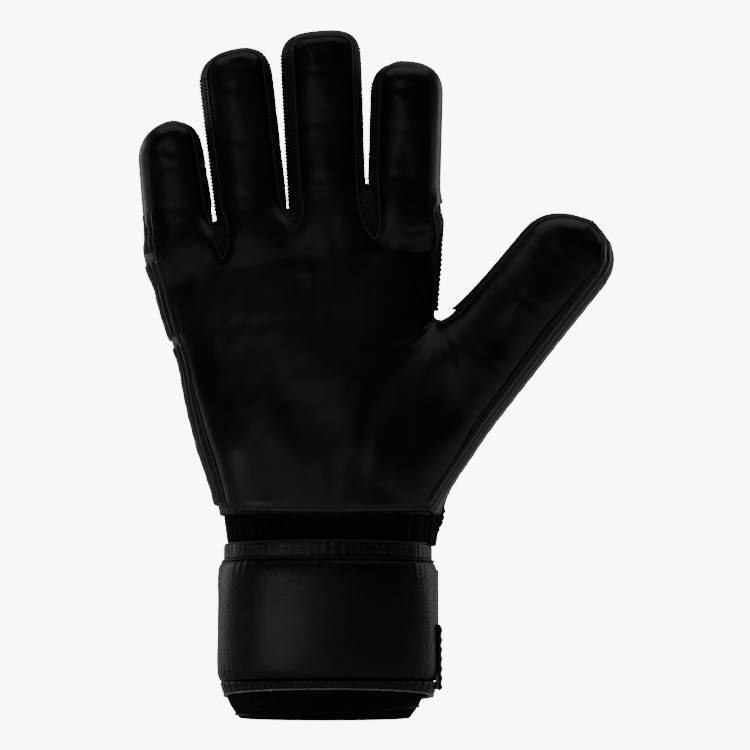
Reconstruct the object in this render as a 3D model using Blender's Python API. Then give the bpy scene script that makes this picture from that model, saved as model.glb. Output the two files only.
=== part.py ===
"""Right-hand goalkeeper glove, standing on its cuff with the fingers up.

Frame: origin under the middle of the glove on the plane of the cuff's lower rim, +Z to the
fingertips, palm facing -Y, thumb at +X. Lengths below are millimetres and are laid out from the
middle of the wrist. Each mesh is moved by ORIGIN and turned into metres at the end.
"""

import math

import bmesh
import bpy
from mathutils import Matrix, Vector

MM = 0.001
GAP = 0.3

# Middle of the glove's box, seen from above, measured from the middle of the wrist
ORIGIN = Vector((18.21, 2.15, 0.0))

# Hand outline: silhouette of the little-finger side and of the index side against height
HEEL_Z = 88.0
FOLD_Z = 192.0
GROOVE_Z = 156.0
LEFT_EDGE = [(88, -47.5), (94, -49), (113, -56), (132, -61), (152, -64), (164, -70), (184, -75), (230, -80)]
RIGHT_EDGE = [(88, 47.5), (110, 47.5), (168, 46), (192, 46.8), (230, 46.6)]
HAND_DEPTH = [(88, 25), (120, 22.5), (156, 19), (192, 16), (225, 13.5)]
HAND_POWER = 2.8
EDGE_INSET = 5.5
EDGE_WALL = 2.5
EDGE_CLEAR = 0.9
CROTCH_INSET = 3.8
CROTCH_Z = 165.5

# Thumb mound on the palm: half width and the height at which its outer edge meets the thumb
MOUND_HALF = 24.0
THUMB_FOOT_Z = 138.0

# Hinges: heights and depths of the axes, and the largest bend in degrees
WRIST_Z = 80.0
FOLD_Y = -4.0
FOLD_BEND = 40.0
DIGIT_HINGE_Y = -3.0
ROOT_BEND = 45.0
MID_BEND = 55.0
THUMB_ROOT_BEND = 30.0
THUMB_MID_BEND = 40.0

# Wall layers
LATEX = 4.0
PAD = 4.5
SKIN = 2.0
LINING = 0.9
LINING_GAP = 1.1
LINING_REACH = 38.0
TIP_OPEN = 0.02
DIGIT_POWER = 2.4

# Cuff and strap: centre shift and half widths of the oval, heights of the parts
CUFF_X = -1.5
CUFF_TOP = 73.0
STRAP_X = -2.3
STRAP_HALF = (44.6, 26.0)
STRAP_LOW = 15.0
STRAP_HIGH = 67.0
BAND_WALL = 4.0
FLAP_ROOT = 150.0
FLAP_END = 5.0
FLAP_LOW = 19.0
FLAP_HIGH = 63.0
FLAP_OFFSET = 2.15
FLAP_WALL = 2.2

LOOKS = {
    "latex": ((0.012, 0.012, 0.016), 0.25),
    "mesh": ((0.010, 0.010, 0.011), 0.85),
    "pad": ((0.014, 0.014, 0.017), 0.5),
    "accent": ((0.16, 0.26, 0.28), 0.5),
    "knit": ((0.009, 0.009, 0.010), 0.9),
    "strap": ((0.020, 0.020, 0.023), 0.45),
    "hem": ((0.012, 0.012, 0.013), 0.7),
    "hook": ((0.015, 0.015, 0.015), 0.6),
    "lining": ((0.030, 0.028, 0.028), 0.9),
}


class Digit:
    """A finger or thumb: a tapering oval tube with a round tip, along a straight axis at y = 0."""

    def __init__(self, root, tip, half_widths, half_depths, bends, mid):
        self.root = Vector((root[0], 0.0, root[1]))
        reach = Vector((tip[0], 0.0, tip[1])) - self.root
        self.length = reach.length
        self.along = reach.normalized()
        self.across = Vector((self.along.z, 0.0, -self.along.x))
        self.half_widths = half_widths
        self.half_depths = half_depths
        self.bends = bends
        self.mid = mid

    def blend(self, pair, s):
        share = min(max(s / self.length, 0.0), 1.0)
        return pair[0] + (pair[1] - pair[0]) * share

    def point(self, s, angle, depth):
        """A point of the wall at a distance s from the root, an angle round it and a depth inside it."""
        half_width = self.blend(self.half_widths, s) - depth
        half_depth = self.blend(self.half_depths, s) - depth
        left = self.length - depth - s
        shrink = 1.0
        if left < half_width:
            shrink = math.sqrt(max(1.0 - (1.0 - left / half_width) ** 2, 0.0))
        side, front = oval(half_width * shrink, half_depth * shrink, DIGIT_POWER, angle)
        return self.root + self.along * s + self.across * side + Vector((0.0, -front, 0.0))

    def end_row(self, depth):
        """Distance from the root at which the wall at this depth stops, short of closing to a point."""
        half_width = self.half_widths[1] - depth
        return self.length - depth - TIP_OPEN * half_width


DIGITS = {
    "little": Digit((-63.9, 211.0), (-69.0, 252.0), (13.6, 12.6), (12.5, 12.0), (ROOT_BEND, MID_BEND), 20.0),
    "ring": Digit((-33.3, 215.0), (-41.0, 282.6), (14.8, 14.2), (13.2, 12.6), (ROOT_BEND, MID_BEND), 34.0),
    "middle": Digit((-1.2, 222.0), (-4.6, 290.0), (16.1, 15.6), (13.6, 13.0), (ROOT_BEND, MID_BEND), 34.0),
    "index": Digit((31.3, 225.0), (32.6, 277.5), (14.6, 14.4), (13.2, 12.6), (ROOT_BEND, MID_BEND), 26.0),
    "thumb": Digit((66.3, 154.4), (110.4, 207.9), (22.0, 17.0), (15.0, 13.5),
                   (THUMB_ROOT_BEND, THUMB_MID_BEND), 32.0),
}

# Angular ranges of the panels round a digit: 0 is the thumb side, 90 the palm side, 180 the other side
PANELS = {
    "little": {"front": (36, 205), "back": (208, 327), "gusset_in": (-30, 33)},
    "ring": {"front": (36, 144), "back": (213, 327), "gusset_in": (-30, 33), "gusset_out": (147, 210)},
    "middle": {"front": (36, 144), "back": (213, 327), "gusset_in": (-30, 33), "gusset_out": (147, 210)},
    "index": {"front": (-25, 144), "back": (213, 332), "gusset_out": (147, 210)},
    "thumb": {"front": (26, 144), "back": (213, 383), "gusset_out": (147, 210)},
}
PANEL_LAYERS = {"front": (0.0, LATEX), "back": (0.0, PAD), "gusset": (0.5, SKIN)}
PANEL_LOOKS = {"front": "latex", "back": "pad", "gusset": "mesh"}
PANEL_COLUMNS = {"front": 7, "back": 6, "gusset": 3}


def oval(half_width, half_depth, power, angle):
    """A point of a squared-off oval, as (sideways, forward)."""
    turn = math.radians(angle)
    side = math.copysign(abs(math.cos(turn)) ** (2.0 / power), math.cos(turn))
    front = math.copysign(abs(math.sin(turn)) ** (2.0 / power), math.sin(turn))
    return half_width * side, half_depth * front


def mix(a, b, share):
    return a + (b - a) * share


def profile(points, at):
    """Straight-line interpolation through (position, value) points."""
    if at <= points[0][0]:
        return points[0][1]
    for (low, first), (high, second) in zip(points, points[1:]):
        if at <= high:
            return mix(first, second, (at - low) / (high - low))
    return points[-1][1]


def bevelled_end(y, hinge_y, bend):
    """Clearance from a hinge plane, wider on the palm side, so that the fold can close."""
    return GAP / 2 + max(hinge_y - y, 0.0) * math.tan(math.radians(bend / 2 + 0.6))


def hand_oval(z, angle, depth):
    """A point of the hand wall at height z, without the thumb."""
    left = profile(LEFT_EDGE, z)
    right = profile(RIGHT_EDGE, z)
    side, front = oval((right - left) / 2 - depth, profile(HAND_DEPTH, z) - depth, HAND_POWER, angle)
    return Vector(((left + right) / 2 + side, -front, z))


def lens(offset, half_width, half_depth, power):
    """Height of an oval over its mid line at a sideways offset."""
    share = min(abs(offset) / half_width, 1.0)
    return half_depth * (1.0 - share ** power) ** (1.0 / power)


def hand_height(x, z, depth):
    """Half the thickness of the hand at (x, z), less a depth: palm and thumb mound smoothly joined."""
    left = profile(LEFT_EDGE, z)
    right = profile(RIGHT_EDGE, z)
    palm = lens(x - (left + right) / 2, (right - left) / 2, profile(HAND_DEPTH, z), HAND_POWER)
    thumb = DIGITS["thumb"]
    here = Vector((x, 0.0, z)) - thumb.root
    mound = lens(here.dot(thumb.across), MOUND_HALF, thumb.half_depths[0], DIGIT_POWER)
    return (palm ** 4 + mound ** 4) ** 0.25 - depth


def edge_angle(half_width, depth, inset, power):
    """How far round the edge a strip can reach and still stay clear of sheets that are inset."""
    room = (inset - EDGE_CLEAR - depth) / (half_width - depth)
    return math.degrees(math.acos((1.0 - room) ** (power / 2)))


def thumb_line(z, set_back):
    """x of the thumb's base line at height z, set back along the thumb."""
    thumb = DIGITS["thumb"]
    start = thumb.root - thumb.along * set_back
    offset = (z - start.z) / thumb.across.z
    return start.x + offset * thumb.across.x


def outer_line(z, inset):
    """x of a line parallel to the outer edge of the thumb mound, inset from it."""
    thumb = DIGITS["thumb"]
    start = thumb.root + thumb.across * (MOUND_HALF - inset)
    return start.x + (z - start.z) * thumb.along.x / thumb.along.z


def hand_right(z, depth):
    """Right limit of the palm and back sheets of the hand."""
    thumb = DIGITS["thumb"]
    y = depth - thumb.half_depths[0]
    set_back = bevelled_end(y, DIGIT_HINGE_Y, THUMB_ROOT_BEND) + GAP
    edge = profile(RIGHT_EDGE, z) - CROTCH_INSET
    if z >= CROTCH_Z:
        return edge
    return max(min(outer_line(z, EDGE_INSET), thumb_line(z, set_back)), edge if z < HEEL_Z + 8 else 0.0)


def new_object(name, look, body, mesh):
    """Closes a mesh into a named object of a body, with its vertices kept in place in the world."""
    bmesh.ops.recalc_face_normals(mesh, faces=mesh.faces)
    if mesh.calc_volume(signed=True) < 0:
        bmesh.ops.reverse_faces(mesh, faces=mesh.faces)
    to_metres = Matrix.Scale(MM, 4) @ Matrix.Translation(-ORIGIN)
    bmesh.ops.transform(mesh, matrix=AXES[body].inverted() @ to_metres, verts=mesh.verts)
    data = bpy.data.meshes.new(name)
    mesh.to_mesh(data)
    mesh.free()
    thing = bpy.data.objects.new(name, data)
    thing.parent = bpy.data.objects.get(body + "_axis")
    GLOVE.objects.link(thing)
    colour, roughness = LOOKS[look]
    data.materials.append(surface_look(name + "_" + look, colour, roughness))
    return thing


def surface_look(name, colour, roughness):
    material = bpy.data.materials.new(name)
    material.use_nodes = True
    shader = material.node_tree.nodes["Principled BSDF"]
    shader.inputs["Base Color"].default_value = (*colour, 1.0)
    shader.inputs["Roughness"].default_value = roughness
    shader.inputs["Metallic"].default_value = 0.0
    return material


def sheet(name, look, body, columns, rows, surface):
    """A closed panel from a grid: surface(across, up, side) gives a point, with side 0 out and 1 in."""
    mesh = bmesh.new()
    bmesh.ops.create_grid(mesh, x_segments=columns, y_segments=rows, size=1.0)
    outside = list(mesh.verts)
    bmesh.ops.extrude_face_region(mesh, geom=list(mesh.faces))
    for vert in mesh.verts:
        vert.co.z = 1.0
    for vert in outside:
        vert.co.z = 0.0
    for vert in mesh.verts:
        across, up, side = (vert.co.x + 1) / 2, (vert.co.y + 1) / 2, vert.co.z
        vert.co = surface(across, up, side)
    return new_object(name, look, body, mesh)


def band(name, look, body, around, rows, surface):
    """A closed ring from a torus: surface(angle, up, side), with side 0 out and 1 in."""
    steps = 2 * (rows + 1)
    bpy.ops.mesh.primitive_torus_add(major_segments=around, minor_segments=steps, major_radius=1.0,
                                     minor_radius=0.25)
    source = bpy.context.object
    mesh = bmesh.new()
    mesh.from_mesh(source.data)
    bpy.data.objects.remove(source, do_unlink=True)
    for vert in mesh.verts:
        angle = math.degrees(math.atan2(vert.co.y, vert.co.x))
        reach = math.hypot(vert.co.x, vert.co.y) - 1.0
        step = round(math.degrees(math.atan2(vert.co.z, reach)) / 360.0 * steps) % steps
        if step <= rows:
            vert.co = surface(angle, step / rows, 0)
        else:
            vert.co = surface(angle, (steps - 1 - step) / rows, 1)
    return new_object(name, look, body, mesh)


def digit_panel(digit_name, segment, panel):
    """One panel of one segment of a digit, with ends cut back so that the joints can fold."""
    digit = DIGITS[digit_name]
    kind = panel.split("_")[0]
    first, last = PANELS[digit_name][panel]
    layers = PANEL_LAYERS[kind]

    def surface(across, up, side):
        angle = mix(first, last, across)
        depth = layers[int(side)]
        low_at = 0.0 if segment == "base" else digit.mid
        low_bend = digit.bends[0] if segment == "base" else digit.bends[1]
        y = digit.point(low_at, angle, depth).y
        low = low_at + bevelled_end(y, DIGIT_HINGE_Y, low_bend)
        if segment == "base":
            y = digit.point(digit.mid, angle, depth).y
            high = digit.mid - bevelled_end(y, DIGIT_HINGE_Y, digit.bends[1])
            return digit.point(mix(low, high, up), angle, depth)
        high = digit.end_row(depth)
        return digit.point(mix(low, high, 1.0 - (1.0 - up) ** 1.8), angle, depth)

    rows = 3 if segment == "base" else 6
    name = f"{digit_name}_{panel}_{segment}"
    sheet(name, PANEL_LOOKS[kind], f"{digit_name}_{segment}", PANEL_COLUMNS[kind], rows, surface)


def root_line(x):
    """Height of the line through the finger roots."""
    points = []
    for name in ("little", "ring", "middle", "index"):
        digit = DIGITS[name]
        for end in (-1, 1):
            place = digit.root + digit.across * digit.half_widths[0] * end
            points.append((place.x, place.z))
    return profile(points, x)


def row_sheet(name, look, columns, facing, layers, trim):
    """The palm or back of the knuckle row, from the fold line up to the finger roots."""
    def surface(across, up, side):
        depth = layers[int(side)]
        left = profile(LEFT_EDGE, FOLD_Z)
        right = profile(RIGHT_EDGE, FOLD_Z)
        x_low = mix(left + trim[0], right - trim[1], across)
        x_high = mix(profile(LEFT_EDGE, 212) + trim[0], profile(RIGHT_EDGE, 225) - trim[1], across)
        top = root_line(x_high)
        y_low = facing * hand_height(x_low, FOLD_Z, depth)
        y_high = facing * hand_height(x_high, top, depth)
        low = FOLD_Z + bevelled_end(y_low, FOLD_Y, FOLD_BEND)
        high = top - bevelled_end(y_high, DIGIT_HINGE_Y, ROOT_BEND)
        x = mix(x_low, x_high, up)
        z = mix(low, high, up)
        return Vector((x, facing * hand_height(x, z, depth), z))

    sheet(name, look, "finger_row", columns, 3, surface)


def hand_sheet(name, look, columns, rows, facing, layers, span, trim=0.0, reach=120.0):
    """The palm or back of the hand, from heel to fold line, out to the thumb or as far as reach."""
    levels = [span[0]]
    stops = [THUMB_FOOT_Z, CROTCH_Z, CROTCH_Z + 3.0, span[1]]
    for stop, count in zip(stops, rows):
        start = levels[-1]
        levels += [mix(start, stop, (step + 1) / count) for step in range(count)]
    total = len(levels) - 1

    def surface(across, up, side):
        depth = layers[int(side)]
        z = levels[round(up * total)]
        left = profile(LEFT_EDGE, z) + EDGE_INSET + trim
        right = min(hand_right(z, layers[0]) - trim, reach)
        x = mix(left, right, across)
        if z == span[1]:
            y = facing * hand_height(x, FOLD_Z, depth)
            z = FOLD_Z - bevelled_end(y, FOLD_Y, FOLD_BEND)
        return Vector((x, facing * hand_height(x, z, depth), z))

    sheet(name, look, "hand", columns, total, surface)


def side_strip(name, look, body, z_low, z_high, facing, inset, layers, rows):
    """A strip wrapped round the edge of the hand, its ends cut back where the hand folds."""
    def surface(across, up, side):
        depth = layers[int(side)]
        level = mix(z_low, z_high, up)
        half_width = (profile(RIGHT_EDGE, level) - profile(LEFT_EDGE, level)) / 2
        angle = facing + mix(-1, 1, across) * edge_angle(half_width, depth, inset, HAND_POWER)
        low = z_low + GAP / 2
        if z_low == FOLD_Z:
            low = FOLD_Z + bevelled_end(hand_oval(z_low, angle, depth).y, FOLD_Y, FOLD_BEND)
        high = z_high - GAP / 2
        if z_high == FOLD_Z:
            high = FOLD_Z - bevelled_end(hand_oval(z_high, angle, depth).y, FOLD_Y, FOLD_BEND)
        return hand_oval(mix(low, high, up), angle, depth)

    sheet(name, look, body, 5, rows, surface)


def thumb_side_pad():
    """The pad round the outer edge of the thumb mound, from the heel to the thumb's base."""
    thumb = DIGITS["thumb"]

    def surface(across, up, side):
        depth = (0.0, EDGE_WALL)[int(side)]
        angle = mix(-1, 1, across) * edge_angle(MOUND_HALF, depth, EDGE_INSET, DIGIT_POWER)
        offset, front = oval(MOUND_HALF - depth, thumb.half_depths[0] - depth, DIGIT_POWER, angle)
        high = -bevelled_end(-front, DIGIT_HINGE_Y, THUMB_ROOT_BEND) - GAP
        s = mix(-52.0, high, up)
        return thumb.root + thumb.along * s + thumb.across * offset + Vector((0.0, -front, 0.0))

    sheet("thumb_side_pad", "pad", "hand", 5, 4, surface)


def cuff_point(centre_x, half_widths, angle, z):
    turn = math.radians(angle)
    return Vector((centre_x + half_widths[0] * math.cos(turn), half_widths[1] * math.sin(turn), z))


def cuff_band(name, look, around, rows, centre_x, outline, wall):
    """A ring of the cuff. outline(up) gives the half width, half depth and height of its outside."""
    def surface(angle, up, side):
        half_width, half_depth, z = outline(up)
        inward = wall * side
        return cuff_point(centre_x, (half_width - inward, half_depth - inward), angle, z)

    band(name, look, "cuff", around, rows, surface)


def strap_arc(name, look, body, angles, heights, offset, wall, columns, rows=2):
    """A strip that follows the outside of the strap at an offset."""
    def surface(across, up, side):
        reach = offset + wall * (1 - side)
        angle = mix(angles[0], angles[1], across)
        halves = (STRAP_HALF[0] + reach, STRAP_HALF[1] + reach)
        return cuff_point(STRAP_X, halves, angle, mix(heights[0], heights[1], up))

    sheet(name, look, body, columns, rows, surface)


def inner_cuff_outline(up):
    heights = [0.0, 3.0, 12.0, CUFF_TOP]
    z = heights[round(up * 3)]
    return profile([(0, 36.0), (3, 38.6), (12, 39.2)], z), profile([(0, 18.5), (3, 20.5), (12, 21.2)], z), z


def strap_outline(up):
    swell = math.sin(math.pi * up) ** 0.5 * 1.2
    return STRAP_HALF[0] - 1.2 + swell, STRAP_HALF[1] - 1.2 + swell, mix(STRAP_LOW, STRAP_HIGH, up)


def plain_outline(half_width, half_depth, low, high):
    return lambda up: (half_width, half_depth, mix(low, high, up))


def add_axes():
    """Empties on the joint axes, local X along the axis, each parented to the one it moves with."""
    for body, (parent, _, _) in JOINTS.items():
        empty = bpy.data.objects.new(body + "_axis", None)
        empty.empty_display_size = 8 * MM
        GUIDES.objects.link(empty)
        empty.hide_render = True
        world = AXES[body]
        holder = bpy.data.objects.get(parent + "_axis")
        empty.parent = holder
        empty.matrix_local = AXES[parent].inverted() @ world


def axis_frame(place, direction):
    turn = Vector((1, 0, 0)).rotation_difference(Vector(direction))
    return Matrix.Translation((Vector(place) - ORIGIN) * MM) @ turn.to_matrix().to_4x4()


def joint_table():
    """Every moving body, as body: (parent, point on its axis, direction of its axis)."""
    joints = {
        "hand": ("cuff", (0, 0, WRIST_Z), (1, 0, 0)),
        "finger_row": ("hand", (0, FOLD_Y, FOLD_Z), (1, 0, 0)),
    }
    for name, digit in DIGITS.items():
        holder = "hand" if name == "thumb" else "finger_row"
        root = digit.root + Vector((0, DIGIT_HINGE_Y, 0))
        joints[name + "_base"] = (holder, root, digit.across)
        joints[name + "_tip"] = (name + "_base", root + digit.along * digit.mid, digit.across)
    middle = FLAP_OFFSET + FLAP_WALL / 2
    halves = (STRAP_HALF[0] + middle, STRAP_HALF[1] + middle)
    joints["strap_flap"] = ("cuff", cuff_point(STRAP_X, halves, FLAP_ROOT, 0.0), (0, 0, 1))
    return joints


def build_digits():
    for name, panels in PANELS.items():
        for segment in ("base", "tip"):
            for panel in panels:
                digit_panel(name, segment, panel)


def build_knuckle_row():
    row_sheet("palm_upper", "latex", 16, -1, (0.0, LATEX), (6.3, 3.8))
    row_sheet("knuckle_pads", "pad", 16, 1, (0.0, PAD), (6.3, 3.8))
    wall = (0.0, EDGE_WALL)
    side_strip("little_side_pad", "pad", "finger_row", FOLD_Z, 207.0, 180, EDGE_INSET, wall, 1)
    side_strip("index_side_mesh", "mesh", "finger_row", FOLD_Z, 222.0, 0, CROTCH_INSET, (0.0, SKIN), 1)


def build_hand():
    span = (HEEL_Z, FOLD_Z)
    hand_sheet("palm_latex", "latex", 12, (4, 3, 1, 2), -1, (0.0, LATEX), span)
    hand_sheet("backhand_panel", "pad", 12, (4, 3, 1, 2), 1, (0.0, PAD), span)
    inside = (LATEX + LINING_GAP, LATEX + LINING_GAP + LINING)
    hand_sheet("palm_lining", "lining", 12, (4, 3, 1, 2), -1, inside, span, 7.0, LINING_REACH)
    inside = (PAD + LINING_GAP, PAD + LINING_GAP + LINING)
    hand_sheet("backhand_lining", "lining", 12, (4, 3, 1, 2), 1, inside, span, 7.0, LINING_REACH)
    wall = (0.0, EDGE_WALL)
    side_strip("side_pad_upper", "pad", "hand", GROOVE_Z + 1.2, FOLD_Z, 180, EDGE_INSET, wall, 3)
    side_strip("side_groove", "accent", "hand", GROOVE_Z - 1.2, GROOVE_Z + 1.2, 180, EDGE_INSET, (1.0, 2.5), 1)
    side_strip("side_pad_lower", "pad", "hand", HEEL_Z + 4, GROOVE_Z - 1.2, 180, EDGE_INSET, wall, 4)
    side_strip("crotch_mesh", "mesh", "hand", CROTCH_Z + 3, FOLD_Z, 0, CROTCH_INSET, (0.0, SKIN), 1)
    thumb_side_pad()


def build_cuff():
    cuff_band("inner_cuff", "knit", 28, 3, CUFF_X, inner_cuff_outline, 2.0)
    cuff_band("strap_band", "strap", 28, 4, STRAP_X, strap_outline, BAND_WALL - 1.2)
    low_rim = plain_outline(STRAP_HALF[0] - 2.0, STRAP_HALF[1] - 2.0, 8.5, STRAP_LOW - GAP)
    cuff_band("strap_bottom_hem", "hem", 28, 1, STRAP_X, low_rim, 1.6)
    high_rim = plain_outline(STRAP_HALF[0] - 2.0, STRAP_HALF[1] - 2.0, STRAP_HIGH + GAP, 72.7)
    cuff_band("strap_top_hem", "hem", 28, 1, STRAP_X, high_rim, 1.6)
    elastic = plain_outline(40.8, 18.4, CUFF_TOP + GAP, 87.0)
    cuff_band("wrist_elastic", "knit", 28, 2, 0.0, elastic, 1.6)
    strap_arc("loop_patch", "hook", "cuff", (135, 45), (24, 58), 0.25, 0.7, 8, 1)


def build_flap():
    heights = (FLAP_LOW, FLAP_HIGH)
    strap_arc("flap_panel", "strap", "strap_flap", (FLAP_ROOT, FLAP_END), heights, FLAP_OFFSET, FLAP_WALL, 16)
    strap_arc("hook_patch", "hook", "strap_flap", (130, 40), (26, 56), 1.2, 0.7, 8, 1)
    strap_arc("pull_tab", "hem", "strap_flap", (FLAP_END - 0.6, -17), (20, 39), 2.6, 1.9, 3, 1)


for leftover in list(bpy.data.objects):
    bpy.data.objects.remove(leftover, do_unlink=True)

GLOVE = bpy.data.collections.new("goalkeeper_glove")
bpy.context.scene.collection.children.link(GLOVE)
GUIDES = bpy.data.collections.new("joint_axes")
bpy.context.scene.collection.children.link(GUIDES)

JOINTS = joint_table()
AXES = {"cuff": Matrix.Identity(4)}
for moving, (_, axis_point, axis_direction) in JOINTS.items():
    AXES[moving] = axis_frame(axis_point, axis_direction)

add_axes()
build_cuff()
build_flap()
build_hand()
build_knuckle_row()
build_digits()
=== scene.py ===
"""Right-hand goalkeeper glove: the visible model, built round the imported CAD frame.

Lengths are millimetres until a mesh is made. Palm faces -Y, fingers up, thumb at +X.
"""

import math

import bpy
import numpy as np
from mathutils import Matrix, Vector
from mathutils.geometry import delaunay_2d_cdt

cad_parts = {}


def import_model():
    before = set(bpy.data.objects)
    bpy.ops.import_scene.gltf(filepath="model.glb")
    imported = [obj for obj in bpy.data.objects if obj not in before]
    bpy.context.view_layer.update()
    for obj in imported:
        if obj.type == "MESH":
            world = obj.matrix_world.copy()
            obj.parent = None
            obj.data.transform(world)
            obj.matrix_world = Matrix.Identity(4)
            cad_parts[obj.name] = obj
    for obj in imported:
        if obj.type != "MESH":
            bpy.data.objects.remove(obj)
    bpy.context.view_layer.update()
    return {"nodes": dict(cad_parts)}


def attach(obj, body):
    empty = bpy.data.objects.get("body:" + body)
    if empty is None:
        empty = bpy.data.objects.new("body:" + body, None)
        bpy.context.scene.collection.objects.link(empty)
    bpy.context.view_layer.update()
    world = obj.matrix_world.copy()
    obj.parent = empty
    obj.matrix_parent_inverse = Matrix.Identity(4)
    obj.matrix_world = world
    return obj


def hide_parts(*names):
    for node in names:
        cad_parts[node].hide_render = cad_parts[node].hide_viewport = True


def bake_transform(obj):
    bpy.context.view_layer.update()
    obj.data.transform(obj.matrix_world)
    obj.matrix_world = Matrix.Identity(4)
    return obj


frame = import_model()

MM = 0.001
SHIFT = np.array([18.21, 2.15, 0.0])    # the frame's origin, from the middle of the wrist
SEC = 3.0           # squareness of the sections
HAND_POWER = 2.8    # squareness of the hand's outline
FULL_TURN = 2 * math.pi


# ---------------------------------------------------------------- rows of points

def unit(rows, least=1e-9):
    """Rows scaled to length one."""
    return rows / np.maximum(np.linalg.norm(rows, axis=1), least)[:, None]


def radial(turn):
    """Level unit vectors at angles round the wrist."""
    return np.column_stack([np.cos(turn), np.sin(turn), 0 * turn])


def superellipse(turn, power):
    """Cosines and sines squared off to a power."""
    return [np.sign(part) * np.abs(part) ** (2 / power) for part in (np.cos(turn), np.sin(turn))]


def run_along(path):
    """Distance covered at each row of a path."""
    return np.concatenate([[0], np.cumsum(np.linalg.norm(np.diff(path, axis=0), axis=1))])


def rows_at(at, run, rows):
    """Rows read off between the given ones, by the distance covered."""
    return np.column_stack([np.interp(at, run, column) for column in rows.T])


def resample(path, step, measured=None, least=1):
    """Evenly spaced rows along a path, by the distance covered in its first measured columns."""
    run = run_along(path[:, :measured])
    return rows_at(np.linspace(0, run[-1], max(int(round(run[-1] / step)), least) + 1), run, path)


def ramp(value, low, high):
    t = np.clip((value - low) / (high - low), 0, 1)
    return t * t * (3 - 2 * t)


# ---------------------------------------------------------------- shape of the glove

def table(points, blur=4.0):
    """A smooth profile through (position, value) points, as a function."""
    pos = np.array([p[0] for p in points], float)
    val = np.array([p[1] for p in points], float)
    grid = np.arange(pos[0] - 20, pos[-1] + 20, 0.5)
    raw = np.interp(grid, pos, val)
    first = (val[1] - val[0]) / (pos[1] - pos[0])
    last = (val[-1] - val[-2]) / (pos[-1] - pos[-2])
    raw = np.where(grid < pos[0], val[0] + first * (grid - pos[0]), raw)
    raw = np.where(grid > pos[-1], val[-1] + last * (grid - pos[-1]), raw)
    reach = int(blur * 6)
    kernel = np.exp(-0.5 * (np.arange(-reach, reach + 1) * 0.5 / blur) ** 2)
    kernel /= kernel.sum()
    padded = np.pad(raw, reach, mode="edge")
    smooth = np.convolve(padded, kernel, mode="valid")
    return lambda at: np.interp(at, grid, smooth)


def norm_of(a, b, power):
    """Length of (a, b) in the norm of a power: the higher, the squarer its unit circle."""
    return (a ** power + b ** power) ** (1 / power)


class Digit:
    """A finger or the thumb: oval sections along a straight axis, with a soft squared tip."""

    def __init__(self, name, root, tip, widths, depths, cap, power, skew, curl=3.0, low=-10.0):
        self.name, self.low = name, low
        self.root = np.array(root, float)
        reach = np.array(tip, float) - self.root
        self.length = float(np.hypot(*reach))
        self.along = reach / self.length
        self.across = np.array([self.along[1], -self.along[0]])
        self.width = table(widths, 3.0)
        self.depth = table(depths, 3.0)
        self.cap, self.power, self.skew, self.curl = cap, power, skew, curl

    def slant(self, q):
        """How far along the digit its tip is shifted at q across; the two sides may differ."""
        left, right = self.skew if isinstance(self.skew, tuple) else (self.skew, self.skew)
        return np.where(np.asarray(q) < 0, left, right) * q

    def local(self, x, z):
        dx, dz = x - self.root[0], z - self.root[1]
        return dx * self.along[0] + dz * self.along[1], dx * self.across[0] + dz * self.across[1]

    def place(self, s, q):
        return (self.root[0] + self.along[0] * s + self.across[0] * q,
                self.root[1] + self.along[1] * s + self.across[1] * q)

    def centre_y(self, s):
        return -self.curl * np.clip(s / self.length, 0, 1) ** 1.6

    def distance(self, x, y, z):
        s, q = self.local(x, z)
        start = self.length - self.cap
        over = np.maximum(0.0, (s - start - self.slant(q)) / self.cap)
        under = np.maximum(0.0, (self.low - s) / 18.0)
        plan = norm_of(np.abs(q / self.width(s)), np.maximum(over, under), self.power)
        deep = self.depth(s)
        return (norm_of(plan, np.abs((y - self.centre_y(s)) / deep), SEC) - 1.0) * deep

    def outline(self, theta):
        """(s, q) of the tip outline at an angle: 180 on the little-finger side, 0 on the thumb side."""
        start = self.length - self.cap
        c, w = superellipse(np.radians(theta), self.power)
        q = c * self.width(start)
        s = start + w * self.cap + self.slant(q)
        return s, q * self.width(s) / self.width(start)


LITTLE = Digit("little", (-63.9, 211.0), (-68.7, 250.9), [(-30, 14.8), (4, 14.7), (16, 14.3), (41, 13.2)],
               [(-30, 13.5), (0, 12.8), (41, 11.6)], 12.5, 2.3, (0.24, 0.14))
RING = Digit("ring", (-33.2, 215.0), (-41.4, 282.4), [(-30, 15.4), (6, 15.7), (40, 15.9), (68, 15.8)],
             [(-30, 14.0), (0, 13.4), (68, 12.4)], 13.0, 2.5, 0.11)
MIDDLE = Digit("middle", (-1.3, 222.0), (-4.3, 290.6), [(-30, 16.6), (6, 16.9), (40, 17.4), (68, 17.5)],
               [(-30, 14.4), (0, 13.8), (68, 12.8)], 12.5, 2.9, 0.04)
INDEX = Digit("index", (31.5, 225.0), (33.0, 276.9), [(-40, 15.4), (2, 15.6), (40, 15.6), (54, 15.4)],
              [(-30, 14.0), (0, 13.4), (54, 12.4)], 13.5, 2.5, -0.03)
THUMB = Digit("thumb", (66.5, 154.2), (110.6, 207.9),
              [(-62, 23.6), (-42, 22.4), (-26, 20.9), (-6, 20.4), (24, 19.8), (52, 19.6), (72, 18.6)],
              [(-62, 21.0), (-30, 18.5), (0, 16.5), (30, 15.2), (72, 13.6)], 16.0, 3.1, (0.36, -0.16),
              curl=2.0, low=-58.0)
FINGERS = [LITTLE, RING, MIDDLE, INDEX]
DIGITS = FINGERS + [THUMB]

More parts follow.
